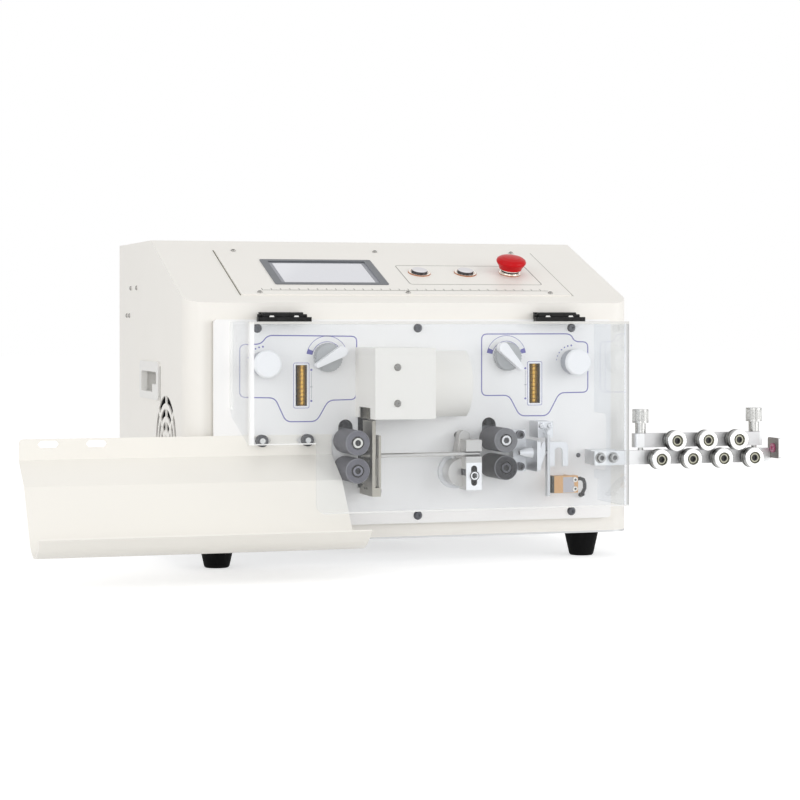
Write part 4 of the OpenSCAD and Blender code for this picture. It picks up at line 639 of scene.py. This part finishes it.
# Steel spring under amber lacquer, through which the metal shines
AMBER_SPRING = Lacquer("amber lacquered spring steel", "#FFC13C", 0.35, 0.8, 0.004, 0.08, 6.0, coat=0.15,
                       patches=(
    box((252.75, 7.0, 184.0), (150.0, 9.0, 40.0), "#FFC95A", 0.55),
))
# Case of the small switch: amber brown, with a dark back, a pale label field and two bright screws
# with painted shade in their slots
SWITCH_SCREWS = spots((410.5,), -42.0, (77.7, 87.3))
PHENOLIC = Finish("amber phenolic resin", "#D3A572", 0.45, 0.5, 0.01, 0.1, 5.0, patches=(
    box((385.2, -33.0, 82.5), (1.9, 9.0, 12.0), "#3B3D33", roughness=0.5),
    box((403.4, -38.0, 82.0), (6.3, 0.3, 8.2), "#B5B3B8"),
    rod(SWITCH_SCREWS, 3.5, "#ECECE8", 1.0, 0.3, reach=8.0),
    # painted shade in the screws' slots
    rod(SWITCH_SCREWS, 1.3, "#333330", reach=8.0),
))
# Tray knobs: dark knurled nylon round the bright end of their screw
TRAY_KNOBS = Finish("dark moulded nylon", "#414145", 0.42, 0.4, 0.012, 0.1, 8.0, patches=(
    rod(spots((77.0, 125.0), -17.5, (132.5,)), 2.9, "#CDCDCB", 1.0, 0.3),
))
# Caps of the push buttons: stainless steel, with painted light on top and painted shade round
# the side
BUTTON_STEEL = Metal("turned stainless cap", "#4A494C", 0.3, 0.3, 0.003, 0.04, 8.0, patches=(
    # painted highlight: the pale top of each cap
    Patch(deck_row(6.1, *BUTTONS_X), (9.5, 9.5, 1.2), "#D6D4D6", 1.0, 0.3, square=True, tilt=SLOPE),
))
# Collars on the deck: polished nickel with fine copper lines where the rim was turned
COLLARS = deck_row(PANEL_T, *BUTTONS_X, STOP_X)
COLLAR_NICKEL = Metal("polished nickel collar", "#B87A55", 0.25, 0.3, 0.003, 0.05, 8.0, patches=(
    *(Patch(COLLARS, (radius, radius, 60.0), colour, 1.0, 0.25, tilt=SLOPE)
      for radius, colour in ((12.0, "#F0ECE4"), (10.4, "#B87A55"), (10.0, "#F0ECE4"))),
    # painted shade: a dark band on the stop's collar, under the red mushroom
    Patch(deck_row(4.4, STOP_X), (11.0, 11.0, 0.9), "#1E1C1C", square=True, tilt=SLOPE),
))
# Screen unit: dark grey moulding with paler strips beside the display
SCREEN_ABS = Finish("dark grey moulded screen frame", "#65686D", 0.42, 0.3, 0.008, 0.05, 20.0, patches=(
    Patch(deck_row(PANEL_T, SCREEN_X), (54.6, 31.5, 6.0), "#8F9198", square=True, tilt=SLOPE),
))
MAGENTA_CERAMIC = Lacquer("glazed magenta ceramic", "#B3527A", 0.25, 0.8, 0.002, 0.06, 5.0)
PVC_LEAD = Finish("black PVC sheath", "#1B1B1D", 0.5, 0.8, 0.01, 0.1, 8.0)
MOTOR_PAINT = Finish("grey painted motor steel", "#44464A", 0.5, 0.8, 0.015, 0.1, 20.0)
BOARD_RESIN = Finish("green glass epoxy board", "#2F6B4A", 0.4, 1.5, 0.02, 0.3, 4.0)
FAN_NYLON = Finish("grey black moulded fan nylon", "#2C2C2F", 0.45, 0.5, 0.012, 0.12, 20.0)
SCREEN = Display("switched off display glass", "#DEDFE5", 0.12, 0.8, 0.0005, 0.0, 60.0, coat=1.0,
                 coat_roughness=0.02)
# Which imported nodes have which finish
NODE_FINISHES = (
    (CREAM_COAT, "case_shell rear_panel deck_panel cutter_cover"),
    (TRAY_COAT, "tray"),
    (PLATE_PAINT, "front_plate"),
    (ACRYLIC, "guard"),
    *((roller_finish(name), f"feed_roller_{name}") for name in ROLLERS),
    (GAP_ABS, "gap_knob_left gap_knob_right"),
    (PRESSURE_ABS, "pressure_knob_left pressure_knob_right"),
    (HANDLE_ABS, "carry_handles"),
    (BLACK_NYLON, "mains_inlet power_rocker"),
    (RED_GLOSS, "stop_button"),
    (FOOT_RUBBER, "feet"),
    (BLACK_HINGE, "hinge_blocks hinge_leaves"),
    (ZINC, "base_plate power_supply sensor_lever"),
    (GROUND_STEEL, "blade_carrier_upper blade_carrier_lower"),
    (GUIDE_STEEL, "blade_guide"),
    (TURNED_STEEL, "blade_screw"),
    (SCREW_STEEL, "screws"),
    (OILED_STEEL, "bearing_plate"),
    (INLET_ALLOY, "inlet_guides"),
    (GUIDE_ALLOY, "guide_arm"),
    (BAR_ALLOY, "straightener_frame straightener_bar"),
    (NICKEL, "thumb_screw_left thumb_screw_right"),
    (WHEEL_STEEL, "wheel_lower_1 wheel_lower_2 wheel_lower_3 wheel_lower_4"),
    (WHEEL_STEEL, "wheel_upper_1 wheel_upper_2 wheel_upper_3"),
    (CAST_ALLOY, "swing_arm_left swing_arm_right"),
    (AMBER_SPRING, "pressure_spring_left pressure_spring_right"),
    (PHENOLIC, "sensor_switch"),
    (TRAY_KNOBS, "tray_knobs"),
    (BUTTON_STEEL, "push_button_left push_button_right"),
    (COLLAR_NICKEL, "control_collars"),
    (SCREEN_ABS, "screen_unit"),
    (MAGENTA_CERAMIC, "wire_eyelet"),
    (PVC_LEAD, "sensor_lead"),
    (MOTOR_PAINT, "drive_motors"),
    (BOARD_RESIN, "control_board"),
    (FAN_NYLON, "fan_frame fan_rotor"),
)


def into_scene(title: str, data: bpy.types.ID) -> Piece:
    """Adds an object with this data to the scene, at the origin."""
    made = bpy.data.objects.new(title, data)
    bpy.context.scene.collection.objects.link(made)
    return made


def new_object(title: str, points: np.ndarray, faces: list, smooth: bool) -> Piece:
    """Makes a mesh with its faces outwards.

    Args:
        title: the object's name.
        points: its points as (n, 3) in the machine's millimetres.
        faces: the numbers of each face's points.
        smooth: shade smooth.

    Returns:
        The object.
    """
    mesh = bpy.data.meshes.new(title)
    mesh.from_pydata(to_row(points).tolist(), [], faces)
    mesh.polygons.foreach_set("use_smooth", np.full(len(mesh.polygons), smooth))
    outward(mesh)
    return into_scene(title, mesh)


def grid_object(title: str, points: np.ndarray, loop_u: bool, loop_v: bool, caps: bool,
                smooth: bool = True) -> Piece:
    """Makes an object from a grid of points.

    The faces are the grid's cells: each joins point (i, j) with its next in both directions, and the
    last joins the first where that direction is a loop. Caps close the two ends of the first
    direction with one face each.

    Args:
        title: the object's name.
        points: the points as (n, m, 3) in the machine's millimetres.
        loop_u: the first direction is a loop.
        loop_v: the second direction is a loop.
        caps: close the ends of the first direction.
        smooth: shade smooth.

    Returns:
        The object.
    """
    n, m = points.shape[:2]
    i = np.arange(n if loop_u else n - 1)[:, None]
    j = np.arange(m if loop_v else m - 1)[None, :]
    ring = [i * m + j, i * m + (j + 1) % m, (i + 1) % n * m + (j + 1) % m, (i + 1) % n * m + j]
    faces = np.stack([np.broadcast_to(r, (i.size, j.size)) for r in ring], axis=-1)
    faces = faces.reshape(-1, 4).tolist()
    if caps:
        faces += [list(range(m))[::-1], list(range((n - 1) * m, n * m))]
    return new_object(title, points.reshape(-1, 3), faces, smooth)


def settle(made: Piece, finish: Finish) -> Piece:
    """Gives a new piece its finish and lets it ride on the fixed body."""
    made.data.materials.append(finish.material())
    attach(made, MACHINE)
    return made


def outward(mesh: bpy.types.Mesh) -> None:
    """Turns a closed mesh's faces outwards, by the sign of the volume that they enclose.

    The volume is the sum over the faces' triangles of the triple product of their corners.

    Args:
        mesh: the mesh.
    """
    mesh.calc_loop_triangles()
    count = len(mesh.loop_triangles)
    corners = np.empty(count * 3, dtype=np.int64)
    mesh.loop_triangles.foreach_get("vertices", corners)
    places = np.empty(len(mesh.vertices) * 3)
    mesh.vertices.foreach_get("co", places)
    a, b, c = np.moveaxis(places.reshape(-1, 3)[corners.reshape(-1, 3)], 1, 0)
    if np.einsum("ij,ij->i", a, np.cross(b, c)).sum() < 0:
        mesh.flip_normals()
    mesh.update()


def carry(path: np.ndarray, profile: np.ndarray, out: np.ndarray, loop: bool) -> np.ndarray:
    """Carries a profile along a path.

    At each point of the path the profile's first axis lies along the side direction, which is the
    cross product of the path's direction with `out`, and its second axis along `out` itself. At a
    corner the side is stretched by one over the cosine of half the turn, so a strip keeps its width.

    Args:
        path: the path as (n, 3).
        profile: the profile as (m, 2).
        out: the outward direction, one for all points as (3,) or one for each as (n, 3).
        loop: the path is a loop.

    Returns:
        The points as (n, m, 3).
    """
    out = np.broadcast_to(out, path.shape)
    step = np.roll(path, -1, axis=0) - path
    if not loop:
        step[-1] = step[-2]
    step = step / np.linalg.norm(step, axis=1)[:, None]
    before = np.roll(step, 1, axis=0)
    if not loop:
        before[0] = step[0]
    middle = step + before
    middle = middle / np.linalg.norm(middle, axis=1)[:, None]
    stretch = 1 / np.clip((middle * step).sum(axis=1), 0.5, 1)
    side = np.cross(middle, out) * stretch[:, None]
    return (path[:, None, :] + side[:, None, :] * profile[None, :, 0, None]
            + out[:, None, :] * profile[None, :, 1, None])


def arc(centre: Flat, radius: float, start: float, end: float, count: int) -> np.ndarray:
    """Makes points on an arc, from start to end in degrees.

    Args:
        centre: its centre.
        radius: its radius.
        start: the first angle.
        end: the last angle.
        count: number of points.

    Returns:
        The points as (count, 2).
    """
    a = np.radians(np.linspace(start, end, count))
    return np.column_stack([centre[0] + radius * np.cos(a), centre[1] + radius * np.sin(a)])


def rectangle(x: Flat, y: Flat) -> list[Flat]:
    """Gives a rectangle's corners from its two ends along both directions."""
    return [(x[0], y[0]), (x[1], y[0]), (x[1], y[1]), (x[0], y[1])]


def around(middle: Flat, half: Flat) -> list[Flat]:
    """Gives a rectangle's corners from its middle and its half sizes."""
    (x, y), (w, h) = middle, half
    return rectangle((x - w, x + w), (y - h, y + h))


def rounded_loop(corners: list[Flat], radius: float, count: int = 6) -> np.ndarray:
    """Rounds a closed outline's corners.

    Each corner p becomes (1 - t)^2 start + 2 t (1 - t) p + t^2 end, where start and end lie
    `radius` from the corner along its two sides, or at 45% of a side that is shorter.

    Args:
        corners: the outline's corners.
        radius: the distance from the corner at which the curve starts.
        count: points on each curve.

    Returns:
        The outline as (len(corners) * count, 2).
    """
    p = np.array(corners, dtype=float)
    after = np.roll(p, -1, axis=0) - p
    before = np.roll(p, 1, axis=0) - p
    len_a = np.linalg.norm(after, axis=1)[:, None]
    len_b = np.linalg.norm(before, axis=1)[:, None]
    end = p + after / len_a * np.minimum(radius, 0.45 * len_a)
    start = p + before / len_b * np.minimum(radius, 0.45 * len_b)
    t = np.linspace(0, 1, count)[None, :, None]
    curve = (1 - t) ** 2 * start[:, None] + 2 * t * (1 - t) * p[:, None] + t ** 2 * end[:, None]
    return curve.reshape(-1, 2)


class Printer:
    """Lays thin bands on a flat face of the machine: ink, the display's face and painted shade."""

    def __init__(self, plate: bool) -> None:
        """Chooses the face.

        Args:
            plate: True for the front plate, False for the deck.
        """
        self.lay = on_plate if plate else on_deck
        self.out = PLATE_OUT if plate else DECK_OUT

    def line(self, title: str, flat: np.ndarray | list[Flat], width: float, finish: Finish,
             loop: bool = False, lift: float = 0.0, height: float = INK_H) -> Piece:
        """Prints one line: a flat rectangle carried along the path.

        Args:
            title: the piece's name.
            flat: the path on the face as (n, 2).
            width: the line's width in millimetres.
            finish: its ink.
            loop: the path is a loop.
            lift: distance of its underside over the face.
            height: thickness of the ink.

        Returns:
            The piece.
        """
        profile = np.array(rectangle((-width / 2, width / 2), (lift, lift + height)))
        points = carry(self.lay(flat), profile, self.out, loop)
        return settle(grid_object(title, points, loop, True, not loop, smooth=False), finish)

    def dot(self, title: str, at: Flat, radius: float, finish: Finish) -> Piece:
        """Prints a dot: a line nearly as wide as the radius, carried round at half the radius."""
        return self.line(title, arc(at, radius / 2, 0, 345, 24), radius * 0.999, finish, loop=True)


@dataclass
class KnobPanel:
    """Printed field round one window, its pressure knob and its gap knob."""

    side: str
    outline: list[Flat]
    gap_knob: Flat
    pressure_knob: Flat
    window: Flat
    arrow_x: float
    corner: float = 6.0
    outline_w: float = 1.1
    line_w: float = 0.5
    dial_radii: Flat = (16.3, 22.1)
    dial_span: Flat = (10.0, 170.0)
    dial_block: float = 14.0
    field_half: Flat = (7.1, 22.1)
    field_w: float = 1.7
    frame_half: Flat = (8.2, 23.2)
    arrow_half: float = 14.0
    arrow_w: float = 0.35
    arrow_mark: Flat = (1.4, -1.5)
    arrow_gap: float = 2.0
    arrow_dot: float = 1.1
    dots_at: float = 17.6
    dots_span: Flat = (172.0, 92.0)
    dot_sizes: Flat = (0.55, 0.95)
    dot_count: int = 7

    def build(self) -> list[Piece]:
        """Prints the outline, the dial, the window frame, the arrow and the dots."""
        ink = Printer(plate=True)
        outline = ink.line(f"panel_outline_{self.side}", rounded_loop(self.outline, self.corner),
                           self.outline_w, VIOLET_INK, loop=True)
        return [outline, *self.dial(ink), *self.frame(ink), *self.arrow(ink), *self.dots(ink)]

    def dial(self, ink: Printer) -> list[Piece]:
        """Prints two thin arcs over the gap knob, with a block of ink at both ends."""
        (inner, outer), (low, high) = self.dial_radii, self.dial_span
        middle, width, block = (inner + outer) / 2, outer - inner, self.dial_block
        return [ink.line(f"dial_{name}", arc(self.gap_knob, radius, start, end, count), wide, VIOLET_INK)
                for name, radius, start, end, count, wide in (
                    (f"inner_{self.side}", inner, low, high, 40, self.line_w),
                    (f"outer_{self.side}", outer, low, high, 44, self.line_w),
                    (f"end_{self.side}_a", middle, low, low + block, 8, width),
                    (f"end_{self.side}_b", middle, high - block, high, 8, width))]

    def frame(self, ink: Printer) -> list[Piece]:
        """Prints the white field round the window and the thin violet line on it."""
        field = rounded_loop(around(self.window, self.field_half), 1.5)
        line = rounded_loop(around(self.window, self.frame_half), 2.0)
        return [
            ink.line(f"window_field_{self.side}", field, self.field_w, WHITE_INK, loop=True),
            ink.line(f"window_line_{self.side}", line, self.line_w, VIOLET_INK, loop=True),
        ]

    def arrow(self, ink: Printer) -> list[Piece]:
        """Prints the line beside the window with a dot at its ends and a mark in its middle."""
        x, z, h = self.arrow_x, self.window[1], self.arrow_half
        (w, lift), end = self.arrow_mark, h + self.arrow_gap
        mark = [(x - w, z + lift), (x + w, z + lift)]
        return [
            ink.line(f"arrow_line_{self.side}", [(x, z - h), (x, z + h)], self.arrow_w, GREY_INK),
            ink.line(f"arrow_mark_{self.side}", mark, self.line_w, GREY_INK),
            ink.dot(f"arrow_top_{self.side}", (x, z + end), self.arrow_dot, VIOLET_INK),
            ink.dot(f"arrow_foot_{self.side}", (x, z - end), self.arrow_dot, VIOLET_INK),
        ]

    def dots(self, ink: Printer) -> list[Piece]:
        """Prints an arc of dots that grow along it, above the pressure knob."""
        places = arc(self.pressure_knob, self.dots_at, *self.dots_span, self.dot_count)
        sizes = np.linspace(*self.dot_sizes, self.dot_count)
        return [ink.dot(f"pressure_dot_{self.side}_{k}", tuple(place), size, VIOLET_INK)
                for k, (place, size) in enumerate(zip(places, sizes))]


# The two panels on the front plate, measured through the photograph's camera
PANELS = (
    KnobPanel("left", [(55.0, 230.9), (77.5, 231.2), (84.0, 240.2), (179.4, 239.0), (178.6, 173.5),
                       (149.0, 173.0), (136.1, 151.2), (103.6, 151.4), (92.1, 176.0), (55.0, 177.0)],
              (147.5, 217.2), (80.0, 211.0), (120.0, 188.5), 130.6),
    KnobPanel("right", [(316.7, 241.0), (417.6, 241.0), (422.2, 232.4), (437.4, 232.4), (437.4, 178.4),
                        (404.8, 178.1), (391.2, 153.8), (359.5, 154.0), (347.4, 176.0), (316.7, 176.0)],
              (344.5, 217.2), (419.0, 211.0), (376.5, 188.5), 365.9),
)


@dataclass
class DeckPrint:
    """Ruler, button field, joints and screen face on the sloping deck: X, and s up the slope."""

    ruler_x: Flat = (88.5, 406.6)
    ruler_s: float = 33.3
    tick_step: float = 2.5
    tick_w: float = 0.8
    ticks: Place = (5.4, 1.3, 0.9)
    field_x: Flat = (256.0, 407.0)
    field_s: Flat = (52.8, 113.6)
    field_corner: float = 4.0
    field_w: float = 0.85
    seam_x: Flat = (62.6, 431.9)
    seam_w: Flat = (1.3, 1.2)
    seam_s: Flat = (21.5, 163.5)
    screen_x: Flat = (118.8, 219.2)
    screen_s: Flat = (59.3, 120.7)
    glass_out: float = 0.8
    glass_t: float = 0.15

    def build(self) -> list[Piece]:
        """Prints the ruler and button field, paints the joints' shade and lays the screen's face."""
        ink = Printer(plate=False)
        field = rounded_loop(rectangle(self.field_x, self.field_s), self.field_corner)
        ruler = [(x, self.ruler_s) for x in self.ruler_x]
        return [
            ink.line("ruler_line", ruler, self.tick_w, DECK_INK, lift=PANEL_T),
            self.comb(),
            ink.line("button_field", field, self.field_w, DECK_INK, loop=True, lift=PANEL_T),
            # painted shade along the panel's left and right joints
            *(ink.line(f"panel_seam_{side}", [(x, s) for s in self.seam_s], width, finish)
              for side, x, width, finish in zip(("left", "right"), self.seam_x, self.seam_w,
                                                (DARK_SEAM_SHADE, FAINT_SEAM_SHADE))),
            self.screen(ink),
        ]

    def comb(self) -> Piece:
        """Makes all the ruler's ticks as one mesh of thin boxes.

        Tick k stands at the ruler's left end + k steps; every fourth is longest and every second is
        middling. Its eight corners lie half its width to both sides, at its foot and its length, and
        at the panel's face and the ink's thickness over it.
        """
        first, last = self.ruler_x
        k = np.arange(int((last - first) // self.tick_step) + 1)
        long, middling, short = self.ticks
        length = np.where(k % 4 == 0, long, np.where(k % 2 == 0, middling, short))
        corner = np.array([[x, y, z] for z in (0, 1) for x, y in rectangle((0, 1), (0, 1))])
        x = first + self.tick_step * k[:, None] + (corner[None, :, 0] - 0.5) * self.tick_w
        up = self.ruler_s + corner[None, :, 1] * length[:, None]
        out = np.broadcast_to(PANEL_T + corner[None, :, 2] * INK_H, x.shape)
        points = on_deck(np.column_stack([x.ravel(), up.ravel()])) + DECK_OUT * out.ravel()[:, None]
        ends = [[3, 2, 1, 0], [4, 5, 6, 7]]
        sides = np.array(ends + [[i, (i + 1) % 4, (i + 1) % 4 + 4, i + 4] for i in range(4)])
        faces = (k[:, None, None] * 8 + sides[None]).reshape(-1, 4)
        return settle(new_object("ruler_ticks", points, faces.tolist(), False), DECK_INK)

    def screen(self, ink: Printer) -> Piece:
        """Lays the display: one wide band along the screen's middle line."""
        low, high = self.screen_s
        middle = [(x, (low + high) / 2) for x in self.screen_x]
        return ink.line("display_face", middle, high - low, SCREEN, lift=self.glass_out,
                        height=self.glass_t)


@dataclass
class Springs:
    """Pressure springs behind the two windows, wound from flat wire."""

    places: dict[str, tuple[float, float, float, float]]
    outer: float = 10.0
    wire: Flat = (1.6, 4.15)
    turns: float = 14.0
    ring: int = 28
    end: float = 0.6

    def build(self) -> list[Piece]:
        """Winds the springs.

        The path is a helix: its angle grows evenly along the wire and its height with it, except
        for the ends of `end` of a turn, which lie flat. A rounded rectangle is carried along it
        with its thickness pointing away from the axis.
        """
        thick, tall = self.wire
        count = int(self.turns * self.ring)
        t = np.linspace(0, 1, count)
        angle = 2 * np.pi * self.turns * t
        flat = self.end / self.turns
        rise = np.clip((t - flat) / (1 - 2 * flat), 0, 1)
        radial = np.column_stack([np.cos(angle), np.sin(angle), np.zeros(count)])
        profile = rounded_loop(around((0, 0), (tall / 2, thick / 2)), 0.5, 3)
        made = []
        for side, (x, y, z0, z1) in self.places.items():
            path = radial * (self.outer - thick) / 2 + np.array([x, y, 0])
            path[:, 2] = z0 + tall / 2 + (z1 - z0 - tall) * rise
            points = carry(path, profile, radial, False)
            coil = grid_object(f"pressure_coil_{side}", points, False, True, True)
            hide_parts(f"pressure_spring_{side}")
            made.append(settle(coil, AMBER_SPRING))
        return made


class CaseDress:
    """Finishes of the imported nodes."""

    def __init__(self) -> None:
        """Sets out the finish of each node by name."""
        self.finishes = {name: finish for finish, names in NODE_FINISHES for name in names.split()}

    def apply(self, nodes: dict[str, Piece]) -> int:
        """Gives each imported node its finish, and returns the number of them."""
        for name, node in nodes.items():
            made = self.finishes[name].material()
            for slot in node.material_slots:
                slot.material = made
            if not node.material_slots:
                node.data.materials.append(made)
        return len(nodes)


# The lamps: name, place and aim in metres, side in metres and power in watts. The fill and the front
# one stand where the guard's front sheet doesn't mirror them into the camera.
LAMPS = (
    ("key", (-2.5, -1.4, 1.0), (0.0, 0.0, 0.15), 2.0, 18.0),
    ("fill", (2.4, -2.0, 0.8), (0.1, 0.0, 0.15), 2.0, 32.0),
    ("front", (-0.75, -2.9, 0.55), (0.0, 0.0, 0.15), 0.9, 9.0),
    ("top", (0.0, 0.3, 2.6), (0.0, 0.0, 0.2), 2.2, 4.0),
)


@dataclass
class Studio:
    """Pale floor, soft lamps and the camera at the photograph's place."""

    camera_at: Place = (-0.6884, -2.291429, 0.2595)
    heading: float = 17.341755
    lens: float = 97.954
    sensor: float = 36.0
    shift: float = -0.10434
    sky: float = 0.66
    paper_glow: float = 0.55
    paper_grain_mm: float = 10 / 3
    floor_half: float = 12.0
    floor_drop: float = 0.0002

    def build(self) -> None:
        """Makes the floor, the world, the lamps and the camera."""
        self.floor()
        self.world()
        for lamp in LAMPS:
            self.lamp(*lamp)
        self.camera()

    def floor(self) -> None:
        """Makes a wide floor that looks white to the camera and keeps a faint shadow.

        The floor is a grid over a square at height zero.
        """
        ticks = np.linspace(-self.floor_half, self.floor_half, 9)
        x, y = np.meshgrid(ticks, ticks, indexing="ij")
        points = np.stack([x, y, np.full_like(x, -self.floor_drop)], axis=-1) * 1000 + SHIFT_MM
        made = grid_object("floor", points, False, False, False, smooth=False)
        paper = bpy.data.materials.new("white paper sweep")
        tree = fresh(paper)
        grain = noise(tree, coordinates(tree), self.paper_grain_mm)
        seen = self.looked_at(tree)
        matt = add(tree, "ShaderNodeBsdfPrincipled", {
            "Base Color": mix(tree, seen, linear("#F4F4F4"), linear("#DCDCDC")),
            "Roughness": band(tree, grain, 0.85, 0.95), "Specular IOR Level": 0.1})
        glow = add(tree, "ShaderNodeEmission", {"Strength": calc(tree, "MULTIPLY", seen, self.paper_glow)})
        both = add(tree, "ShaderNodeAddShader", {0: matt.outputs[0], 1: glow.outputs[0]})
        add(tree, "ShaderNodeOutputMaterial", {"Surface": both.outputs[0]})
        made.data.materials.append(paper)

    def looked_at(self, tree: Tree) -> Socket:
        """Gives 1 for rays of the camera, a mirror or glass, and 0 for light on the object."""
        path = add(tree, "ShaderNodeLightPath").outputs
        both = calc(tree, "MAXIMUM", path["Is Camera Ray"], path["Is Glossy Ray"])
        return calc(tree, "MAXIMUM", both, path["Is Transmission Ray"])

    def world(self) -> None:
        """Makes an even pale sky, full white where the camera, a mirror or glass looks at it."""
        world = bpy.data.worlds.new("studio")
        tree = fresh(world)
        level = band(tree, self.looked_at(tree), self.sky, 1.0)
        back = add(tree, "ShaderNodeBackground", {"Color": (1.0, 1.0, 1.0, 1.0), "Strength": level})
        add(tree, "ShaderNodeOutputWorld", {"Surface": back.outputs[0]})
        bpy.context.scene.world = world

    def lamp(self, title: str, at: Place, to: Place, size: float, power: float) -> None:
        """Adds one square soft lamp, with what LAMPS says of it."""
        data = bpy.data.lights.new(title, "AREA")
        data.size = size
        data.energy = power
        made = into_scene(title, data)
        away = np.array(at) - np.array(to)
        away = away / np.linalg.norm(away)
        turn = math.atan2(away[1], away[0]) + math.pi / 2
        made.rotation_euler = (math.acos(away[2]), 0.0, turn)
        made.location = at

    def camera(self) -> None:
        """Adds the camera, level, with its picture shifted down as in the photograph."""
        data = bpy.data.cameras.new("camera")
        data.lens = self.lens
        data.sensor_width = self.sensor
        data.shift_y = self.shift
        made = into_scene("camera", data)
        made.location = self.camera_at
        made.rotation_euler = (math.pi / 2, 0.0, -math.radians(self.heading))
        bpy.context.scene.camera = made


def main() -> None:
    """Builds each part of the scene in order and reports it."""
    logging.basicConfig(level=logging.INFO, format="%(name)s: %(message)s")
    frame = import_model()
    scene = bpy.context.scene
    scene.view_settings.view_transform = "Standard"
    LOG.info("dressed %d packed nodes", CaseDress().apply(frame["nodes"]))
    for panel in PANELS:
        LOG.info("printed %d pieces on the %s panel", len(panel.build()), panel.side)
    LOG.info("laid %d pieces on the deck", len(DeckPrint().build()))
    springs = Springs({"left": (124.5, 7.0, 154.2, 213.5), "right": (381.0, 7.0, 154.2, 213.5)})
    LOG.info("wound %d springs", len(springs.build()))
    Studio().build()
    LOG.info("lit the studio")


if __name__ == "__main__":
    main()
